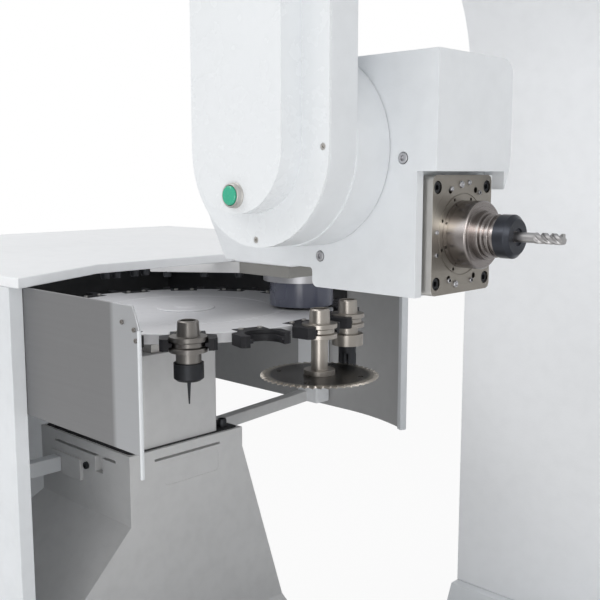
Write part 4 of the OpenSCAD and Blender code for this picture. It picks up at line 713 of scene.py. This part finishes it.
disc = put("plain_disc", *turned(
    [(DISC_LOW, 0.0), (DISC_LOW, DISC_R), (DISC_TOP, DISC_R), (DISC_TOP, 0.0)],
    2, (AXIS_X, AXIS_Y), 128), wheel_paint, "carousel", "grey_paint", ("carousel_disc",))
seats = []
for i in range(PLACES):
    angle = place_angle(i)
    turn = np.array([(math.cos(angle), math.sin(angle)), (-math.sin(angle), math.cos(angle))])
    corners = np.array([(SEAT_IN, -SEAT_HALF), (SEAT_OUT, -SEAT_HALF),
                        (SEAT_OUT, SEAT_HALF), (SEAT_IN, SEAT_HALF)]) @ turn
    seats.append(carried(corners + (AXIS_X, AXIS_Y), 2, 1.225, 1.25))
cut(disc, "DIFFERENCE", *seats)


def lowered(points, base, share):
    """Heights above base are multiplied by share."""
    result = points.copy()
    result[:, 2] = np.where(points[:, 2] > base, base + (points[:, 2] - base) * share, points[:, 2])
    return result


def lifted(points, below, rise):
    """Points lower than below go up by rise."""
    return points + np.where(points[:, 2] < below, rise, 0.0)[:, None] * (0.0, 0.0, 1.0)


reshaped("low_ring_gear", "ring_gear", lambda p: lowered(p, DISC_TOP, RING_SHARE), wheel_paint)
drive_low, drive_high = (np.array(bound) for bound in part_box("index_drive"))
drive_axis = (drive_low + drive_high)[:2] / 2
DRIVE_R, SKIRT_R, SKIRT_H, BORE = 0.064, 0.058, 0.023, 0.0105
put("round_index_drive", *turned(
    [(drive_low[2], SKIRT_R), (drive_low[2], DRIVE_R), (drive_high[2], DRIVE_R), (drive_high[2], BORE),
     (drive_low[2] + SKIRT_H, BORE), (drive_low[2] + SKIRT_H, SKIRT_R)], 2, drive_axis),
    navy_paint, "root", "navy_paint", ("index_drive",))
reshaped("low_hub_cap", "carousel_shaft", lambda p: lowered(p, DISC_TOP, HUB_SHARE), wheel_paint)
SAW_RISE, DRILL_RISE, ARBOR_SPLIT, HOLDER_SPLIT = 0.049, 0.019, 1.12, 1.18
reshaped("raised_saw_blade", "saw_blade", lambda p: p + (0.0, 0.0, SAW_RISE))
reshaped("short_saw_arbor", "saw_arbor", lambda p: lifted(p, ARBOR_SPLIT, SAW_RISE))
reshaped("short_drill_holder", "drill_holder", lambda p: lifted(p, HOLDER_SPLIT, DRILL_RISE))
reshaped("raised_drill_nut", "drill_nut", lambda p: p + (0.0, 0.0, DRILL_RISE))
put("slim_drill", *turned(
    [(1.123, 0.0), (1.124, 0.0012), (1.146, 0.0024), (1.162, 0.0033), (1.166, 0.007), (1.190, 0.007),
     (1.190, 0.0)], 2, place(0), 32), black_steel, "carousel", "tool_steel", ("drill_bit",))
print("the wheel has", len(disc.data.polygons), "faces")

# %% [markdown]
# No real edge is perfectly sharp. The packed solids are loose triangles, so a Weld joins them
# again and a Bevel rounds the corners by what a file or a paint film leaves. The round edge is
# what catches the light and draws each part's outline.

# %% Rounded edges
EDGE_OF_SLOT = {"white_paint": 0.0022, "grey_paint": 0.0014, "beige_paint": 0.0012,
                "navy_paint": 0.0012, "ground_steel": 0.0006, "tool_steel": 0.0003,
                "black_steel": 0.0004, "cover_white": 0.003, "green_plastic": 0.0006}
EDGE_OF_NODE = {"yoke_arm": 0.0006, "tool_forks": 0.0012}
WELD_GAP, FLAT_DEGREES, EDGE_DEGREES, EDGE_SEGMENTS = 0.00002, 1.0, 35, 2


def rounded(piece, width):
    """Welds a mesh's doubled points, dissolves the lines inside flat faces, bevels each edge sharper
    than 35 degrees by width, and weights the shading by face area, so flat faces stay flat."""
    weld = piece.modifiers.new("weld", "WELD")
    weld.merge_threshold = WELD_GAP
    flat = piece.modifiers.new("flat", "DECIMATE")
    flat.decimate_type, flat.angle_limit = "DISSOLVE", math.radians(FLAT_DEGREES)
    bevel = piece.modifiers.new("edge", "BEVEL")
    bevel.width, bevel.segments = width, EDGE_SEGMENTS
    bevel.limit_method, bevel.angle_limit = "ANGLE", math.radians(EDGE_DEGREES)
    bevel.use_clamp_overlap = True
    shade = piece.modifiers.new("shade", "WEIGHTED_NORMAL")
    shade.keep_sharp, shade.weight = True, 80
    piece.data.polygons.foreach_set("use_smooth", np.ones(len(piece.data.polygons), bool))


def edge_width(piece):
    """The width for a piece or solid: its own, or that of its slot."""
    slot = slot_of.get(piece.name, piece.get("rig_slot", "white_paint"))
    return EDGE_OF_NODE.get(piece.name, EDGE_OF_SLOT[slot])


shown = [o for o in bpy.data.objects if o.type == "MESH" and not o.hide_render]
for piece in shown:
    rounded(piece, edge_width(piece))
print("edges are rounded on", len(shown), "pieces")

# %% [markdown]
# The room is a pale floor, a white sky and four large soft lamps: the key high at the front
# left, a weaker one at the right, one low in front that opens the shadows under the head, and
# one over the cabinet. A small fifth lamp under the roof lights the wheel of tools. The floor
# looks nearly white to the camera but keeps the machine's shadow. Only camera rays see the
# bright sky and floor: what metal reflects is the dimmer sky and the plain floor.

# %% Floor, sky and lamps
FLOOR_HALF, FLOOR_GLOW, SKY_LIGHT = 14.0, 0.88, 0.64

floor_mesh = bpy.data.meshes.new("floor")
floor_mesh.from_pydata([(-FLOOR_HALF, -FLOOR_HALF, 0), (FLOOR_HALF, -FLOOR_HALF, 0),
                        (FLOOR_HALF, FLOOR_HALF, 0), (-FLOOR_HALF, FLOOR_HALF, 0)], [], [(0, 1, 2, 3)])
floor = bpy.data.objects.new("floor", floor_mesh)
bpy.context.scene.collection.objects.link(floor)

pale = Finish("pale_floor", (0.9, 0.9, 0.9), 0.7)
glow = pale.node("ShaderNodeEmission", None, {"Color": (1.0, 1.0, 1.0), "Strength": 1.0})
seen = pale.node("ShaderNodeLightPath", out="Is Camera Ray") * FLOOR_GLOW
mixed = pale.node("ShaderNodeMixShader", None, {0: seen, 2: glow})
pale.tree.links.new(pale.shader.outputs[0], mixed.socket.node.inputs[1])
pale.tree.links.new(mixed.socket, pale.tree.nodes["Material Output"].inputs["Surface"])
floor_mesh.materials.append(pale.material)

world = bpy.data.worlds.new("white_room")
world.use_nodes = True
bpy.context.scene.world = world
sky = world.node_tree
path = sky.nodes.new("ShaderNodeLightPath")
strength = sky.nodes.new("ShaderNodeMix")
strength.inputs[2].default_value, strength.inputs[3].default_value = SKY_LIGHT, 1.0
sky.links.new(path.outputs["Is Camera Ray"], strength.inputs[0])
sky.links.new(strength.outputs[0], sky.nodes["Background"].inputs["Strength"])
sky.nodes["Background"].inputs["Color"].default_value = (1.0, 1.0, 1.0, 1.0)


def soft_lamp(name, place, aim, size, watts):
    """A square area lamp at place that faces aim."""
    lamp = bpy.data.lights.new(name, "AREA")
    lamp.energy, lamp.size = watts, size
    holder = bpy.data.objects.new(name, lamp)
    holder.location = place
    away = np.array(place) - np.array(aim)
    holder.rotation_euler = (math.acos(away[2] / np.linalg.norm(away)), 0.0,
                             math.atan2(away[0], -away[1]))
    holder.visible_camera = False
    bpy.context.scene.collection.objects.link(holder)


soft_lamp("key_lamp", (-2.0, -3.4, 4.4), (0.1, -0.3, 1.4), 2.6, 43.0)
soft_lamp("side_lamp", (4.2, -1.4, 3.0), (0.3, 0.0, 1.4), 2.4, 18.0)
soft_lamp("low_lamp", (2.2, -3.2, 0.8), (0.6, 0.2, 0.9), 1.6, 27.0)
soft_lamp("top_lamp", (-1.2, -0.6, 4.4), (-0.5, 0.2, 1.4), 1.8, 22.0)
soft_lamp("wheel_lamp", (-0.42, -0.12, 1.328), (-0.42, -0.11, 1.20), 0.42, 0.42)
bpy.context.scene.view_settings.view_transform = "Standard"
